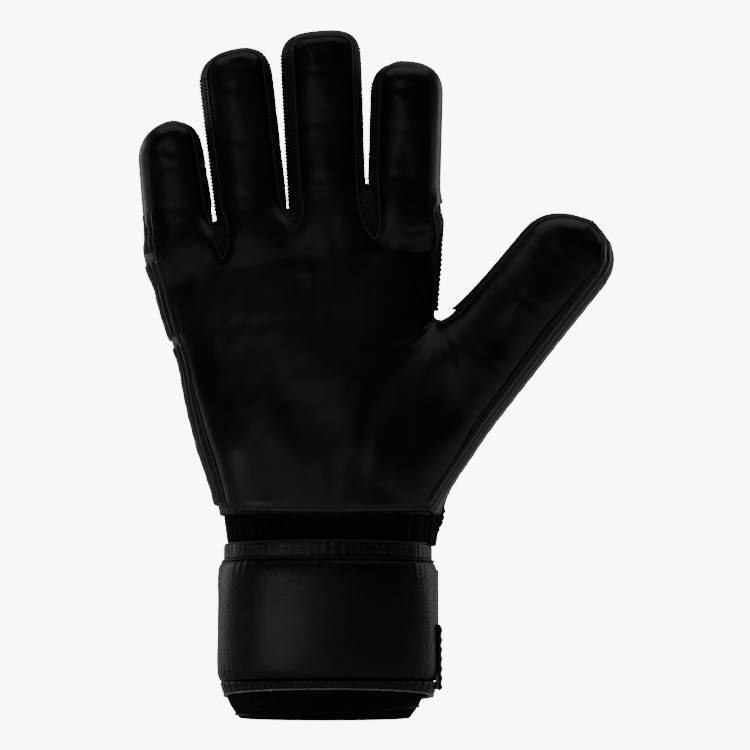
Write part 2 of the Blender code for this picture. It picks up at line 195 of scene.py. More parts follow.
# Hand slab: edges and half thickness against height
LEFT = table([(80, -45.4), (94, -48.0), (113, -54.8), (132, -59.7), (148, -62.6), (160, -67.2),
              (176, -72.2), (190, -74.8), (208, -77.6), (230, -79.0)], 3.0)
RIGHT = table([(80, 44.6), (110, 44.0), (150, 43.0), (168, 44.2), (185, 46.5), (202, 47.4), (232, 47.2)], 3.0)
DEEP = table([(80, 24.5), (100, 23.5), (140, 19.5), (175, 16.0), (205, 13.8), (232, 13.0)], 6.0)
CROWN = table([(-82, 203), (-64, 207), (-49, 209.5), (-33, 212), (-18, 213.5), (0, 219), (15.5, 225),
               (32, 225), (60, 221)], 3.0)
CROWN_CAP = 16.0


def hand_distance(x, y, z):
    left, right = LEFT(z), RIGHT(z)
    side = np.abs((x - (left + right) / 2) / ((right - left) / 2))
    over = np.maximum(0.0, (z - CROWN(x) + CROWN_CAP) / CROWN_CAP)
    deep = DEEP(z)
    return (norm_of(norm_of(side, over, HAND_POWER), np.abs(y / deep), SEC) - 1.0) * deep


def soft_min(a, b, reach):
    mixed = np.maximum(reach - np.abs(a - b), 0.0) / reach
    return np.minimum(a, b) - mixed * mixed * reach * 0.25


def skin(x, y, z):
    """Rough signed distance to the glove's outer skin."""
    fingers = FINGERS[0].distance(x, y, z)
    for digit in FINGERS[1:]:
        fingers = np.minimum(fingers, digit.distance(x, y, z))
    hand = soft_min(hand_distance(x, y, z), THUMB.distance(x, y, z), 6.0)
    return soft_min(hand, fingers, 5.0)


def cast(origin, direction, offset=0.0, reach=34.0, march=0.0):
    """Where rays from inside meet the skin at an offset. Bisection, after a march to the first crossing
    where a ray could run on into the next finger."""
    low = np.zeros(len(origin))
    high = np.full(len(origin), reach)
    if march:
        going = np.ones(len(origin), bool)
        for far in np.arange(march, reach, march):
            p = origin + direction * far
            out = going & (skin(*p.T) >= offset)
            high[out] = far
            going &= ~out
        low = np.maximum(high - march, 0.0)
    for _ in range(24):
        mid = (low + high) / 2
        p = origin + direction * mid[:, None]
        inside = skin(*p.T) < offset
        low = np.where(inside, mid, low)
        high = np.where(inside, high, mid)
    return origin + direction * high[:, None]


def lift(plan, facing):
    """Points of the plan (x, z) raised onto the palm side (-1) or the back (+1) of the skin."""
    origin = np.column_stack([plan[:, 0], np.zeros(len(plan)), plan[:, 1]])
    direction = np.zeros_like(origin)
    direction[:, 1] = facing
    return cast(origin, direction)


def gradient(p):
    """Unit outward normals of the skin."""
    return unit(np.column_stack([skin(*(p + step).T) - skin(*(p - step).T) for step in 0.05 * np.eye(3)]))


# ---------------------------------------------------------------- meshes

def smooth_normals(verts, tris):
    a, b, c = verts[tris.T]
    facing = np.cross(b - a, c - a)
    total = np.zeros_like(verts)
    for corners in tris.T:
        np.add.at(total, corners, facing)
    return unit(total, 1e-12)


def world(point):
    """A point of the glove's own layout, as a position in the frame."""
    return Vector((np.asarray(point, float) - SHIFT) * MM)


def link(name, data):
    """Puts a mesh, light or camera in the scene."""
    thing = bpy.data.objects.new(name, data)
    bpy.context.scene.collection.objects.link(thing)
    return thing


def make_object(name, verts, faces, material, normals):
    """A mesh object from points in millimetres."""
    mesh = bpy.data.meshes.new(name)
    mesh.from_pydata(((np.asarray(verts) - SHIFT) * MM).tolist(), [], [list(map(int, f)) for f in faces])
    mesh.polygons.foreach_set("use_smooth", [True] * len(mesh.polygons))
    mesh.update()
    mesh.materials.append(material)
    mesh.normals_split_custom_set_from_vertices([tuple(n) for n in normals])
    thing = link(name, mesh)
    return thing


def spline(points, step=1.2):
    """A smooth curve through plan points, sampled evenly."""
    p = np.array(points, float)
    p = np.vstack([2 * p[0] - p[1], p, 2 * p[-1] - p[-2]])
    out = []
    for i in range(1, len(p) - 2):
        t = np.linspace(0, 1, 24, endpoint=False)[:, None]
        a, b, c, d = p[i - 1], p[i], p[i + 1], p[i + 2]
        out.append(0.5 * (2 * b + (c - a) * t + (2 * a - 5 * b + 4 * c - d) * t ** 2
                          + (3 * b - a - 3 * c + d) * t ** 3))
    out.append(p[-2][None])
    return resample(np.vstack(out), step)


def inside_polygon(points, loop):
    x, y = points[:, 0], points[:, 1]
    result = np.zeros(len(points), bool)
    ax, ay = loop[:, 0], loop[:, 1]
    bx, by = np.roll(ax, -1), np.roll(ay, -1)
    for i in range(len(loop)):
        crosses = (ay[i] > y) != (by[i] > y)
        if crosses.any():
            xs = (bx[i] - ax[i]) * (y - ay[i]) / (by[i] - ay[i] + 1e-12) + ax[i]
            result ^= crosses & (x < xs)
    return result


def distance_to_path(points, path, chunk=4000):
    """Distance from each point to a polyline, and the index of its nearest vertex."""
    best = np.empty(len(points))
    index = np.empty(len(points), int)
    for i in range(0, len(points), chunk):
        d = np.linalg.norm(points[i:i + chunk, None, :] - path[None], axis=2)
        index[i:i + chunk] = d.argmin(1)
        best[i:i + chunk] = d.min(1)
    return best, index


def fill(loop, spacing, cuts):
    """Triangulates the inside of a loop, with a triangular lattice and edges kept along the cuts."""
    low, high = loop.min(0), loop.max(0)
    rows = np.arange(low[1], high[1], spacing * 0.866)
    cols = np.arange(low[0], high[0], spacing)
    gx, gz = np.meshgrid(cols, rows)
    gx = gx + (np.arange(len(rows)) % 2)[:, None] * spacing / 2
    lattice = np.column_stack([gx.ravel(), gz.ravel()])
    lattice = lattice[inside_polygon(lattice, loop)]
    lattice = lattice[distance_to_path(lattice, loop)[0] > spacing * 0.62]
    cut_points, cut_edges = [], []
    base = len(loop)
    for cut in cuts:
        path = resample(np.array(cut, float), spacing)
        path = path[inside_polygon(path, loop)]
        path = path[distance_to_path(path, loop)[0] > spacing * 0.45]
        near = [int(distance_to_path(path[k][None], loop)[1][0]) for k in (0, -1)]
        ids = [near[0]] + list(range(base, base + len(path))) + [near[1]]
        cut_edges += list(zip(ids[:-1], ids[1:]))
        cut_points.append(path)
        base += len(path)
        lattice = lattice[distance_to_path(lattice, path)[0] > spacing * 0.6]
    points = np.vstack([loop] + cut_points + [lattice])
    edges = [(i, (i + 1) % len(loop)) for i in range(len(loop))] + cut_edges
    verts, _, faces, order, _, _ = delaunay_2d_cdt([Vector(p) for p in points], edges, [], 1, 1e-5)
    assert len(verts) == len(points), "the plan gained points"
    back = np.array([o[0] for o in order])
    tris = back[np.array([list(f) for f in faces])]
    a, b, c = points[tris[:, 0]], points[tris[:, 1]], points[tris[:, 2]]
    area = (b[:, 0] - a[:, 0]) * (c[:, 1] - a[:, 1]) - (b[:, 1] - a[:, 1]) * (c[:, 0] - a[:, 0])
    tris[area < 0] = tris[area < 0][:, ::-1]
    keep = inside_polygon((a + b + c) / 3, loop)
    return points, tris[keep]


# ---------------------------------------------------------------- outlines

class Loop:
    """A panel outline in plan, with how far each point's edge wraps round the side."""

    def __init__(self):
        self.points, self.wraps, self.spines = [], [], []

    def add(self, points, wraps=None, spines=None):
        points = np.asarray(points, float)
        if self.points and np.linalg.norm(points[0] - self.points[-1][-1]) < 0.4:
            points = points[1:]
            wraps = None if wraps is None else wraps[1:]
            spines = None if spines is None else spines[1:]
        self.points.append(points)
        self.wraps.append(np.zeros(len(points)) if wraps is None else np.asarray(wraps, float))
        self.spines.append(np.full((len(points), 3), np.nan) if spines is None else np.asarray(spines))

    def done(self):
        points, wraps = np.vstack(self.points), np.concatenate(self.wraps)
        spines = np.vstack(self.spines)
        if np.linalg.norm(points[0] - points[-1]) < 0.4:
            points, wraps, spines = points[:-1], wraps[:-1], spines[:-1]
        return points, wraps, spines


SIDE_ROWS, TIP_ROWS = 60, 120


def digit_edge(digit, low_left, low_right, inset, step=1.2, spine_depth=10.0):
    """Runs up one side of a digit, round the tip and down the other. inset is the distance from the
    silhouette, or a function of (side, s), side going from -1 through 0 at the tip to +1. Returns the plan
    points, the side, the spine points the sections turn about, s, and the silhouette."""
    start = digit.length - digit.cap
    up = np.linspace(low_left, start, SIDE_ROWS, endpoint=False)
    down = np.linspace(start, low_right, SIDE_ROWS)[1:]
    s_tip, q_tip = digit.outline(np.linspace(180, 0, TIP_ROWS))
    s = np.concatenate([up + digit.slant(-digit.width(up)), s_tip, down + digit.slant(digit.width(down))])
    q = np.concatenate([-digit.width(up), q_tip, digit.width(down)])
    side = np.concatenate([-np.ones(SIDE_ROWS), np.linspace(-1, 1, TIP_ROWS), np.ones(SIDE_ROWS - 1)])
    room = digit.width(np.minimum(s, start)) - spine_depth
    spine_q = np.clip(q, -room, room)
    spine_s = np.minimum(s, digit.length - spine_depth - 1.0 + digit.slant(spine_q))
    s, q, side, spine_s, spine_q = resample(np.column_stack([s, q, side, spine_s, spine_q]), step, 2, 2).T
    outer = np.column_stack(digit.place(s, q))
    spine = np.column_stack(digit.place(spine_s, spine_q))
    inset = inset(side, s) if callable(inset) else inset
    plan = outer - unit(outer - spine) * np.reshape(inset, (-1, 1))
    spine3 = np.column_stack([spine[:, 0], digit.centre_y(spine_s), spine[:, 1]])
    return plan, side, spine3, s, outer


ROLL = 19.0         # arc that rolled latex covers past the front face


def thumb_inset(side, s):
    right = np.interp(s, [-6, 21, 47, 62, 72], [5.8, 6.7, 5.8, 2.8, 2.2])
    return 2.5 + (right - 2.5) * ramp(side, 0.1, 0.8)


def roll(side, s, low):
    """How far the latex of an outer finger wraps: fully on its outer side, fading out over the tip."""
    return ROLL * ramp(side, -0.35, 0.75) * ramp(s, low, low + 9.0) + 2.0 * ramp(0.9 - np.abs(side), 0, 0.4)


def latex_loop():
    little, ring, middle, index, thumb = [
        digit_edge(digit, low_left, low_right, inset) for digit, low_left, low_right, inset in (
            (LITTLE, -6.0, 1.0, 3.8),
            (RING, 0.0, 0.0, lambda side, s: 4.5 - 0.4 * side),
            (MIDDLE, 0.0, 0.0, lambda side, s: 5.8 - 1.1 * side),
            (INDEX, 1.0, -14.0, lambda side, s: 4.4 - 0.8 * side), (THUMB, 10.5, -5.0, thumb_inset))]
    loop = Loop()
    loop.add(spline([(-41.0, 88.2), (-44.0, 99.6), (-49.6, 117), (-53.8, 131.4), (-57.6, 145), (-61.6, 158.0),
                     (-66.4, 174), (-70.6, 190), (-72.9, 201), little[0][0]]))
    side, s = little[1], little[3]
    loop.add(little[0], roll(-side, s, -6.0) * (side < 0.92), little[2])
    loop.add(spline([little[0][-1], (-50.6, 206.0), (-47.6, 196.5), (-44.2, 190.5), (-41.2, 196.0),
                     (-41.6, 206.0), ring[0][0]]))
    loop.add(ring[0], 2.4 * ramp(0.62 - np.abs(ring[1]), 0, 0.3), ring[2])
    loop.add(spline([ring[0][-1], (-18.8, 210.0), (-14.4, 203.5), (-10.4, 208.0), (-10.0, 215.0),
                     middle[0][0]]))
    loop.add(middle[0], 2.4 * ramp(0.62 - np.abs(middle[1]), 0, 0.3), middle[2])
    loop.add(spline([middle[0][-1], (12.2, 211.0), (15.6, 202.6), (19.6, 199.0), (22.0, 205.0), (21.8, 214.0),
                     index[0][0]]))
    side, s = index[1], index[3]
    loop.add(index[0], roll(side, s, -12.0) * (side > -0.92), index[2])
    loop.add(spline([index[0][-1], (44.4, 202), (44.1, 190), (43.4, 177), (42.6, 170.6), (43.4, 166.0),
                     (48.0, 164.4), thumb[0][0]]))
    loop.add(thumb[0])
    loop.add(spline([thumb[0][-1], (60.6, 123.2), (52.6, 105.2), (47.0, 88.2)]))
    loop.add(spline([(47.0, 88.2), (22, 87.3), (0, 87.0), (-22, 87.3), (-41.0, 88.2)]))
    return loop.done()


# Cut lines between pieces, each in the middle of a body
FOLD_CUT = 177.0
CUT_S = {"little": 12.8, "ring": 20.0, "middle": 21.0, "index": 15.5, "thumb": 17.0}
ROOT_CUT_S = {"little": -1.6, "ring": -2.0, "middle": -3.0, "index": -3.0, "thumb": -15.0}


def cut_lines():
    lines = [[(-90, FOLD_CUT), (50, FOLD_CUT)]]
    for digit in DIGITS:
        for s in (CUT_S[digit.name], ROOT_CUT_S[digit.name]):
            wide = digit.width(s) + (0.5 if digit is not THUMB else 6.0)
            lines.append([digit.place(s, -wide), digit.place(s, wide)])
    return lines


def piece_of(x, z):
    """Which piece each plan point belongs to: 0 palm, 1 fold, then 2 per digit."""
    piece = np.where(z < FOLD_CUT, 0, 1)
    for number, digit in enumerate(DIGITS):
        s, q = digit.local(x, z)
        if digit is THUMB:
            own = (s > ROOT_CUT_S["thumb"]) & (q > -27) & (q < 40) & (x > 43.5) & (z > 110)
        else:
            own = (s > ROOT_CUT_S[digit.name]) & (np.abs(q) < digit.width(s) + 0.9) & (z > 200)
        piece = np.where(own, 2 + 2 * number + (s > CUT_S[digit.name]), piece)
    return piece


PIECES = ["palm", "fold"] + [f"{d.name}_{part}" for d in DIGITS for part in ("lower", "upper")]
MID_S = {"little": 20.0, "ring": 34.0, "middle": 34.0, "index": 26.0, "thumb": 32.0}
MID_HALF = {"little": 6.5, "ring": 9.0, "middle": 9.0, "index": 8.5, "thumb": 10.0}
ROOT_ZONE = {"little": (-0.5, 11.5), "ring": (-0.5, 15.0), "middle": (0.5, 17.0), "index": (-1.0, 13.5),
             "thumb": (-8.0, 9.0)}


def settle(thing, piece):
    """Rides the palm piece on the hand; bakes every other piece in place."""
    if piece == "palm":
        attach(thing, "hand")
        return
    if piece == "fold":
        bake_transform(thing)
        return
    name, part = piece.split("_")
    digit = next(d for d in DIGITS if d.name == name)
    if part == "lower":
        zone = ROOT_ZONE[name]
    else:
        zone = (MID_S[name] - MID_HALF[name], MID_S[name] + MID_HALF[name])
    ends = [world((x, 0.0, z)) for x, z in (digit.place(at, 0.0) for at in zone)]
    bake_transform(thing)


def split_pieces(name, verts, faces, normals, material, owner=None):
    """Cuts a finished surface into its pieces and settles each one."""
    tri = np.array([list(f[:3]) for f in faces])
    mid = verts[tri].mean(1)
    piece = piece_of(mid[:, 0], mid[:, 2]) if owner is None else owner
    for number in np.unique(piece):
        own = [faces[i] for i in np.nonzero(piece == number)[0]]
        used = np.unique(np.concatenate([np.asarray(f) for f in own]))
        renumber = {int(v): i for i, v in enumerate(used)}
        part = [[renumber[int(v)] for v in f] for f in own]
        piece_name = PIECES[number]
        settle(make_object(f"{name}_{piece_name}", verts[used], part, material, normals[used]), piece_name)


WRAP_ROWS, WRAP_RADIUS = 9, 11.5


def first_there(verts, near=1e-3):
    """For each point, the number of the first point that lies in its place."""
    key = np.round(verts / near).astype(np.int64)
    _, first, inverse = np.unique(key, axis=0, return_index=True, return_inverse=True)
    return first[inverse.ravel()]


def panel(loop_data, facing, spacing, relief, edge_drop=1.7, edge_round=0.7):
    """A panel over its outline: the filled plan, the parts that wrap round the sides, and a rounded
    rim. relief(points) is how far the surface stands off the skin. Returns points, triangles and normals."""
    loop, wraps, spines = loop_data
    plan, tris = fill(loop, spacing, cut_lines())
    if facing > 0:
        tris = tris[:, ::-1]
    count = len(loop)
    points, rows = [lift(plan, facing)], [np.arange(count)]
    outer = previous = points[0][:count]

    def add_row(row):
        rows.append(sum(len(p) for p in points) + np.arange(count))
        points.append(row)

    tangent = np.roll(loop, -1, axis=0) - np.roll(loop, 1, axis=0)
    flat_out = unit(np.column_stack([-tangent[:, 1], np.zeros(count), tangent[:, 0]]))
    signed = ((loop[:, 0] * np.roll(loop[:, 1], -1)) - (np.roll(loop[:, 0], -1) * loop[:, 1])).sum()
    if signed > 0:
        flat_out *= -1
    has = wraps > 0.05
    if has.any():
        edge = outer
        spine = np.where(np.isnan(spines), edge, spines)
        ray = edge - spine
        start = np.arctan2(np.abs(ray[:, 1]), np.hypot(ray[:, 0], ray[:, 2]) + 1e-9)
        side = unit(ray * (1, 0, 1))
        for k in range(1, WRAP_ROWS + 1):
            turn = start - wraps / WRAP_RADIUS * k / WRAP_ROWS
            direction = side * np.cos(turn)[:, None]
            direction[:, 1] = facing * np.sin(turn)
            previous, outer = outer, edge.copy()
            outer[has] = cast(spine[has], direction[has], 0.0, 22.0, 0.7)
            add_row(outer)
    normal = gradient(outer)
    heading = outer - previous
    moved = np.linalg.norm(heading, axis=1) > 0.02
    heading = np.where(moved[:, None], heading, flat_out)
    heading = unit(heading - normal * (heading * normal).sum(1)[:, None])
    for turn in np.radians((35, 70, 90)):
        add_row(outer + heading * edge_round * math.sin(turn) - normal * edge_round * (1 - math.cos(turn)))
    add_row(outer + heading * edge_round - normal * edge_drop)
    verts = np.vstack(points)
    rim = []
    for a, b in zip(rows[:-1], rows[1:]):
        a2, b2 = np.roll(a, -1), np.roll(b, -1)
        flat = [np.linalg.norm(verts[i] - verts[j], axis=1) < 1e-4 for i, j in ((a, b), (a2, b2))]
        rim.append(np.vstack([np.column_stack([a, a2, b2]), np.column_stack([a, b2, b])])
                   [np.tile(~(flat[0] & flat[1]), 2)])
    rim = np.vstack(rim)
    if (signed > 0) == (facing < 0):
        rim = rim[:, ::-1]
    # weld the rows that lie on one another where there is no wrap
    tris = first_there(verts)[np.vstack([tris, rim])]
    good = (tris[:, 0] != tris[:, 1]) & (tris[:, 1] != tris[:, 2]) & (tris[:, 0] != tris[:, 2])
    tris = tris[good]
    base = smooth_normals(verts, tris)
    if (base[:count * 4] * gradient(verts[:count * 4])).sum() < 0:
        tris = tris[:, ::-1]
        base = -base
    verts = verts + base * relief(verts)[:, None]
    return verts, tris, smooth_normals(verts, tris)


# ---------------------------------------------------------------- materials

class Nodes:
    """Small helper for building the node tree of a material or of the world."""

    def __init__(self, owner, shader="Principled BSDF"):
        self.owner = bpy.data.materials.new(owner) if isinstance(owner, str) else owner
        self.owner.use_nodes = True
        self.tree = self.owner.node_tree
        self.shader = self.tree.nodes[shader]
        self.coords = self.tree.nodes.new("ShaderNodeTexCoord").outputs["Object"]

    def node(self, kind, **values):
        made = self.tree.nodes.new(kind)
        for key, value in values.items():
            self.put(made.inputs[key], value)
        return made

    def put(self, socket, value):
        if isinstance(value, bpy.types.NodeSocket):
            self.tree.links.new(value, socket)
        else:
            socket.default_value = value

    def math(self, op, a, b=0.0):
        made = self.tree.nodes.new("ShaderNodeMath")
        made.operation = op
        self.put(made.inputs[0], a)
        self.put(made.inputs[1], b)
        return made.outputs[0]

    def noise(self, scale, detail=3.0, rough=0.5):
        return self.node("ShaderNodeTexNoise", Vector=self.coords, Scale=scale, Detail=detail,
                         Roughness=rough).outputs["Fac"]

    def cells(self, scale, feature="F1"):
        made = self.node("ShaderNodeTexVoronoi", Vector=self.coords, Scale=scale)
        made.feature = feature
        return made.outputs["Distance"]

    def range(self, value, low, high, to_low=0.0, to_high=1.0):
        return self.node("ShaderNodeMapRange", Value=value, **{
            "From Min": low, "From Max": high, "To Min": to_low, "To Max": to_high}).outputs["Result"]

    def blend_colours(self, share, a, b):
        made = self.tree.nodes.new("ShaderNodeMix")
        made.data_type = "RGBA"
        for key, value in (("Factor", share), ("A", (*a, 1.0)), ("B", (*b, 1.0))):
            self.put(made.inputs[key], value)
        return made.outputs["Result"]

    def bump(self, height, distance, strength=1.0, **normal):
        return self.node("ShaderNodeBump", Distance=distance, Strength=strength, Height=height,
                         **normal).outputs["Normal"]

    def seen(self):
        """1 on rays from the camera, 0 on the rest."""
        return self.tree.nodes.new("ShaderNodeLightPath").outputs["Is Camera Ray"]

    def finish(self, **sockets):
        for key, value in sockets.items():
            self.put(self.shader.inputs[key.replace("__", " ")], value)
        return self.owner


def latex_material():
    n = Nodes("palm_latex")
    cloud = n.noise(38.0, 1.5)
    fine = n.noise(900.0, 4.0, 0.6)
    colour = n.blend_colours(n.range(cloud, 0.35, 0.7), (0.0018, 0.0018, 0.0024), (0.0034, 0.0034, 0.0046))
    rough = n.math("ADD", n.range(cloud, 0.22, 0.78, 0.26, 0.40), n.math("MULTIPLY", fine, 0.06))
    normal = n.bump(n.noise(160.0, 2.0), 0.0003, 0.35, Normal=n.bump(fine, 0.00004, 0.6))
    return n.finish(Base__Color=colour, Roughness=rough, Normal=normal, Specular__IOR__Level=0.29,
                    Coat__Weight=0.04, Coat__Roughness=0.2)


def mesh_material():
    n = Nodes("gusset_mesh")
    hole = n.range(n.cells(900.0), 0.1, 0.55)
    colour = n.blend_colours(hole, (0.0008, 0.0008, 0.001), (0.0065, 0.0065, 0.0075))
    return n.finish(Base__Color=colour, Roughness=0.6, Normal=n.bump(hole, 0.0005, 0.9),
                    Specular__IOR__Level=0.25)


def pad_material():
    n = Nodes("back_pad")
    cloud = n.noise(50.0, 3.0)
    colour = n.blend_colours(cloud, (0.0070, 0.0070, 0.0088), (0.0145, 0.0145, 0.018))
    return n.finish(Base__Color=colour, Roughness=n.range(cloud, 0.3, 0.7, 0.38, 0.48),
                    Normal=n.bump(n.cells(1300.0), 0.00012, 0.6), Specular__IOR__Level=0.3)


def strap_material(name="strap_leather", low=(0.0026, 0.0026, 0.003), high=(0.0045, 0.0045, 0.005)):
    n = Nodes(name)
    cloud = n.noise(35.0, 3.0)
    grain = n.cells(1500.0, "SMOOTH_F1")
    wrinkle = n.noise(1000.0, 5.0, 0.6)
    height = n.math("ADD", n.math("MULTIPLY", grain, 0.9), n.math("MULTIPLY", wrinkle, 0.5))
    colour = n.blend_colours(n.range(cloud, 0.3, 0.7), low, high)
    rough = n.math("ADD", n.range(cloud, 0.3, 0.7, 0.25, 0.30), n.math("MULTIPLY", wrinkle, 0.08))
    return n.finish(Base__Color=colour, Roughness=rough, Normal=n.bump(height, 0.00026, 0.65),
                    Specular__IOR__Level=0.19)


def knit_material(name, pitch, level):
    n = Nodes(name)
    wave = n.node("ShaderNodeTexWave", Vector=n.coords, Scale=pitch, Distortion=0.6)
    wave.bands_direction = "Z"
    fuzz = n.noise(2600.0, 2.0)
    height = n.math("ADD", wave.outputs["Fac"], n.math("MULTIPLY", fuzz, 0.8))
    colour = n.blend_colours(n.range(height, 0.3, 1.4), (level * 0.15,) * 3, (level,) * 3)
    return n.finish(Base__Color=colour, Roughness=0.85, Normal=n.bump(height, 0.0003, 0.8),
                    Specular__IOR__Level=0.2)


def thread_material(name="thread", low=(0.003, 0.003, 0.0036), high=(0.010, 0.010, 0.0115)):
    n = Nodes(name)
    twist = n.noise(3000.0, 2.0)
    colour = n.blend_colours(twist, low, high)
    return n.finish(Base__Color=colour, Roughness=0.5, Normal=n.bump(twist, 0.0001, 0.5))


def accent_material():
    n = Nodes("accent_trim")
    fine = n.noise(1500.0, 3.0)
    colour = n.blend_colours(fine, (0.004, 0.008, 0.009), (0.013, 0.023, 0.026))
    return n.finish(Base__Color=colour, Roughness=0.6, Normal=n.bump(fine, 0.0002, 0.6))


def fastener_material():
    n = Nodes("fastener")
    fuzz = n.noise(2200.0, 4.0, 0.7)
    colour = n.blend_colours(fuzz, (0.004, 0.004, 0.004), (0.03, 0.03, 0.03))
    return n.finish(Base__Color=colour, Roughness=0.9, Normal=n.bump(fuzz, 0.0006, 1.0), Sheen__Weight=0.4)


LATEX = latex_material()
MESH = mesh_material()
PAD = pad_material()
# lighter copy of the thread: partly the thread's own grey, partly painted highlight along the latex edges and
# gusset seams
SEAM_WITH_PAINTED_HIGHLIGHT = thread_material("seam_thread", (0.008, 0.008, 0.009), (0.030, 0.030, 0.034))
STRAP = strap_material()
KNIT = knit_material("cuff_knit", 420.0, 0.005)
ELASTIC = knit_material("wrist_elastic", 620.0, 0.003)
# near-white painted highlight for the strap's bottom rim: the pale colour stands in for light caught along the
# edge, not the edge's own colour
PAINTED_RIM_HIGHLIGHT = knit_material("strap_cut_edge", 900.0, 0.5)
THREAD = thread_material()
ACCENT = accent_material()
FASTENER = fastener_material()
HEM = strap_material("hem_binding", (0.0025, 0.0025, 0.003), (0.005, 0.005, 0.0056))


# ---------------------------------------------------------------- skin under the panels

def grid_faces(rows, columns, closed=False):
    """Quads over a grid of points. A closed grid joins its last column to its first."""
    return [(r * columns + c, r * columns + (c + 1) % columns, (r + 1) * columns + (c + 1) % columns,
             (r + 1) * columns + c) for r in range(rows - 1) for c in range(columns if closed else columns - 1)]


def digit_skin(digit, low, inset=0.5, count=72, step=1.6):
    """Closed-ended tube of mesh fabric inside the panels of a digit."""
    start = digit.length - digit.cap
    c, w = superellipse(np.linspace(0, FULL_TURN, count, endpoint=False), SEC)
    up = np.sin(np.linspace(0, 0.985, 12) * math.pi / 2)
    sections = [(s, 1.0, ramp(s, start - 14, start)) for s in np.arange(low, start, step)]
    sections += zip(start + up * (digit.cap - inset), (1 - up ** digit.power) ** (1 / digit.power), np.ones(12))
    rings = []
    for s, shrink, shear in sections:
        q = c * (digit.width(s) - inset) * shrink
        x, z = digit.place(s + digit.slant(q) * shear, q)
        rings.append(np.column_stack([x, w * (digit.depth(s) - inset) * shrink + digit.centre_y(s), z]))
    last = (len(rings) - 1) * count
    return np.vstack(rings), grid_faces(len(rings), count, True) + [tuple(last + k for k in range(count))]


def split_tube(name, verts, faces, material, digit):
    """Cuts a digit's skin at its middle cut line."""
    mid = np.array([verts[list(f)].mean(0) for f in faces])
    s, _ = digit.local(mid[:, 0], mid[:, 2])
    owner = 2 + 2 * DIGITS.index(digit) + (s > CUT_S[digit.name])
    normals = smooth_normals(verts, np.array([f[:3] for f in faces]))
    split_pieces(name, verts, faces, normals, material, owner)


def hand_skin(columns=90, rows=84):
    """Closed base of the hand under the panels: a palm sheet and a back sheet that meet at the sides."""
    phi = np.linspace(-math.pi / 2, math.pi / 2, columns)
    share = np.sin(phi)
    up = np.linspace(0, 1, rows)
    up = 1 - (1 - up) ** 1.6
    side, climb = np.meshgrid(share, up)
    z = np.full_like(side, 190.0)
    for _ in range(3):
        left, right = LEFT(z), RIGHT(z)
        x = (left + right) / 2 + (right - left) / 2 * side * 0.975
        room = (1 - np.minimum(np.abs(side), 1) ** HAND_POWER) ** (1 / HAND_POWER)
        top = CROWN(x) - CROWN_CAP + (CROWN_CAP + 0.6) * room
        z = 85.0 + (top - 85.0) * climb
    over = np.maximum(0, (z - CROWN(x) + CROWN_CAP) / (CROWN_CAP + 0.6))
    plan = np.minimum(norm_of(np.abs(side), over, HAND_POWER), 1)
    y = (DEEP(z) - 1.4) * (1 - plan ** SEC) ** (1 / SEC)
    verts = np.vstack([np.dstack([x, half, z]).reshape(-1, 3) for half in (-y, y)])
    palm = grid_faces(rows, columns)
    return weld(verts, palm + [tuple(v + rows * columns for v in f[::-1]) for f in palm])


def weld(verts, faces):
    """Joins points that lie on one another and drops faces that vanish."""
    order = first_there(verts)
    kept = []
    for face in faces:
        ring = []
        for v in (int(order[i]) for i in face):
            if not ring or ring[-1] != v:
                ring.append(v)
        if len(ring) > 1 and ring[0] == ring[-1]:
            ring.pop()
        if len(ring) > 2:
            kept.append(tuple(ring))
    used = np.unique(np.concatenate([np.array(f) for f in kept]))
    renumber = {int(v): i for i, v in enumerate(used)}
    return verts[used], [tuple(renumber[v] for v in f) for f in kept]


def corner_normals(verts, faces):
    tri = [f[:3] for f in faces] + [(f[0], f[2], f[3]) for f in faces if len(f) == 4]
    return smooth_normals(verts, np.array(tri))


# ---------------------------------------------------------------- surface relief

def noise_waves(count, low, high, seed):
    rng = np.random.default_rng(seed)
    turn = rng.uniform(0, FULL_TURN, count)
    length = rng.uniform(low, high, count) / FULL_TURN
    return np.cos(turn) / length, np.sin(turn) / length, rng.uniform(0, FULL_TURN, count)


BROAD = noise_waves(9, 26.0, 60.0, 3)
FINE = noise_waves(14, 7.0, 16.0, 5)


def waves(p, which):
    kx, kz, phase = which
    return np.cos(p[:, :1] * kx + p[:, 2:3] * kz + phase).mean(1) * 2.0


def crease(p, line, width, depth, shoulder=0.35):
    """A fold along a short plan line: a valley with a low swelling on each side, fading at its ends.
    A negative depth makes a ridge."""
    path = resample(np.array(line, float), 1.0)
    away, index = distance_to_path(p[:, [0, 2]], path)
    share = index / max(len(path) - 1, 1)
    fade = np.sin(np.clip(share, 0.02, 0.98) * math.pi) ** 0.6
    valley = np.exp(-(away / width) ** 2) - shoulder * np.exp(-((away - 2.0 * width) / width) ** 2)
    return -depth * fade * valley


def dome(away, reach):
    return 1 - np.exp(-np.maximum(away, 0) / reach)


def fan(start, heading, spread, count, length, seed):
    """Fine creases that run out from near one point."""
    rng = np.random.default_rng(seed)
    lines = []
    for k in range(count):
        turn = math.radians(heading + spread * (k / (count - 1) - 0.5) + rng.uniform(-3, 3))
        near = rng.uniform(1.0, 4.0)
        reach = length * rng.uniform(0.6, 1.1)
        bend = rng.uniform(-0.12, 0.12)
        points = []
        for t in (near, near + reach / 2, near + reach):
            way = turn + bend * t / reach
            points.append((start[0] + t * math.cos(way), start[1] + t * math.sin(way)))
        lines.append((points, rng.uniform(0.75, 1.05), rng.uniform(0.16, 0.34)))
    return lines


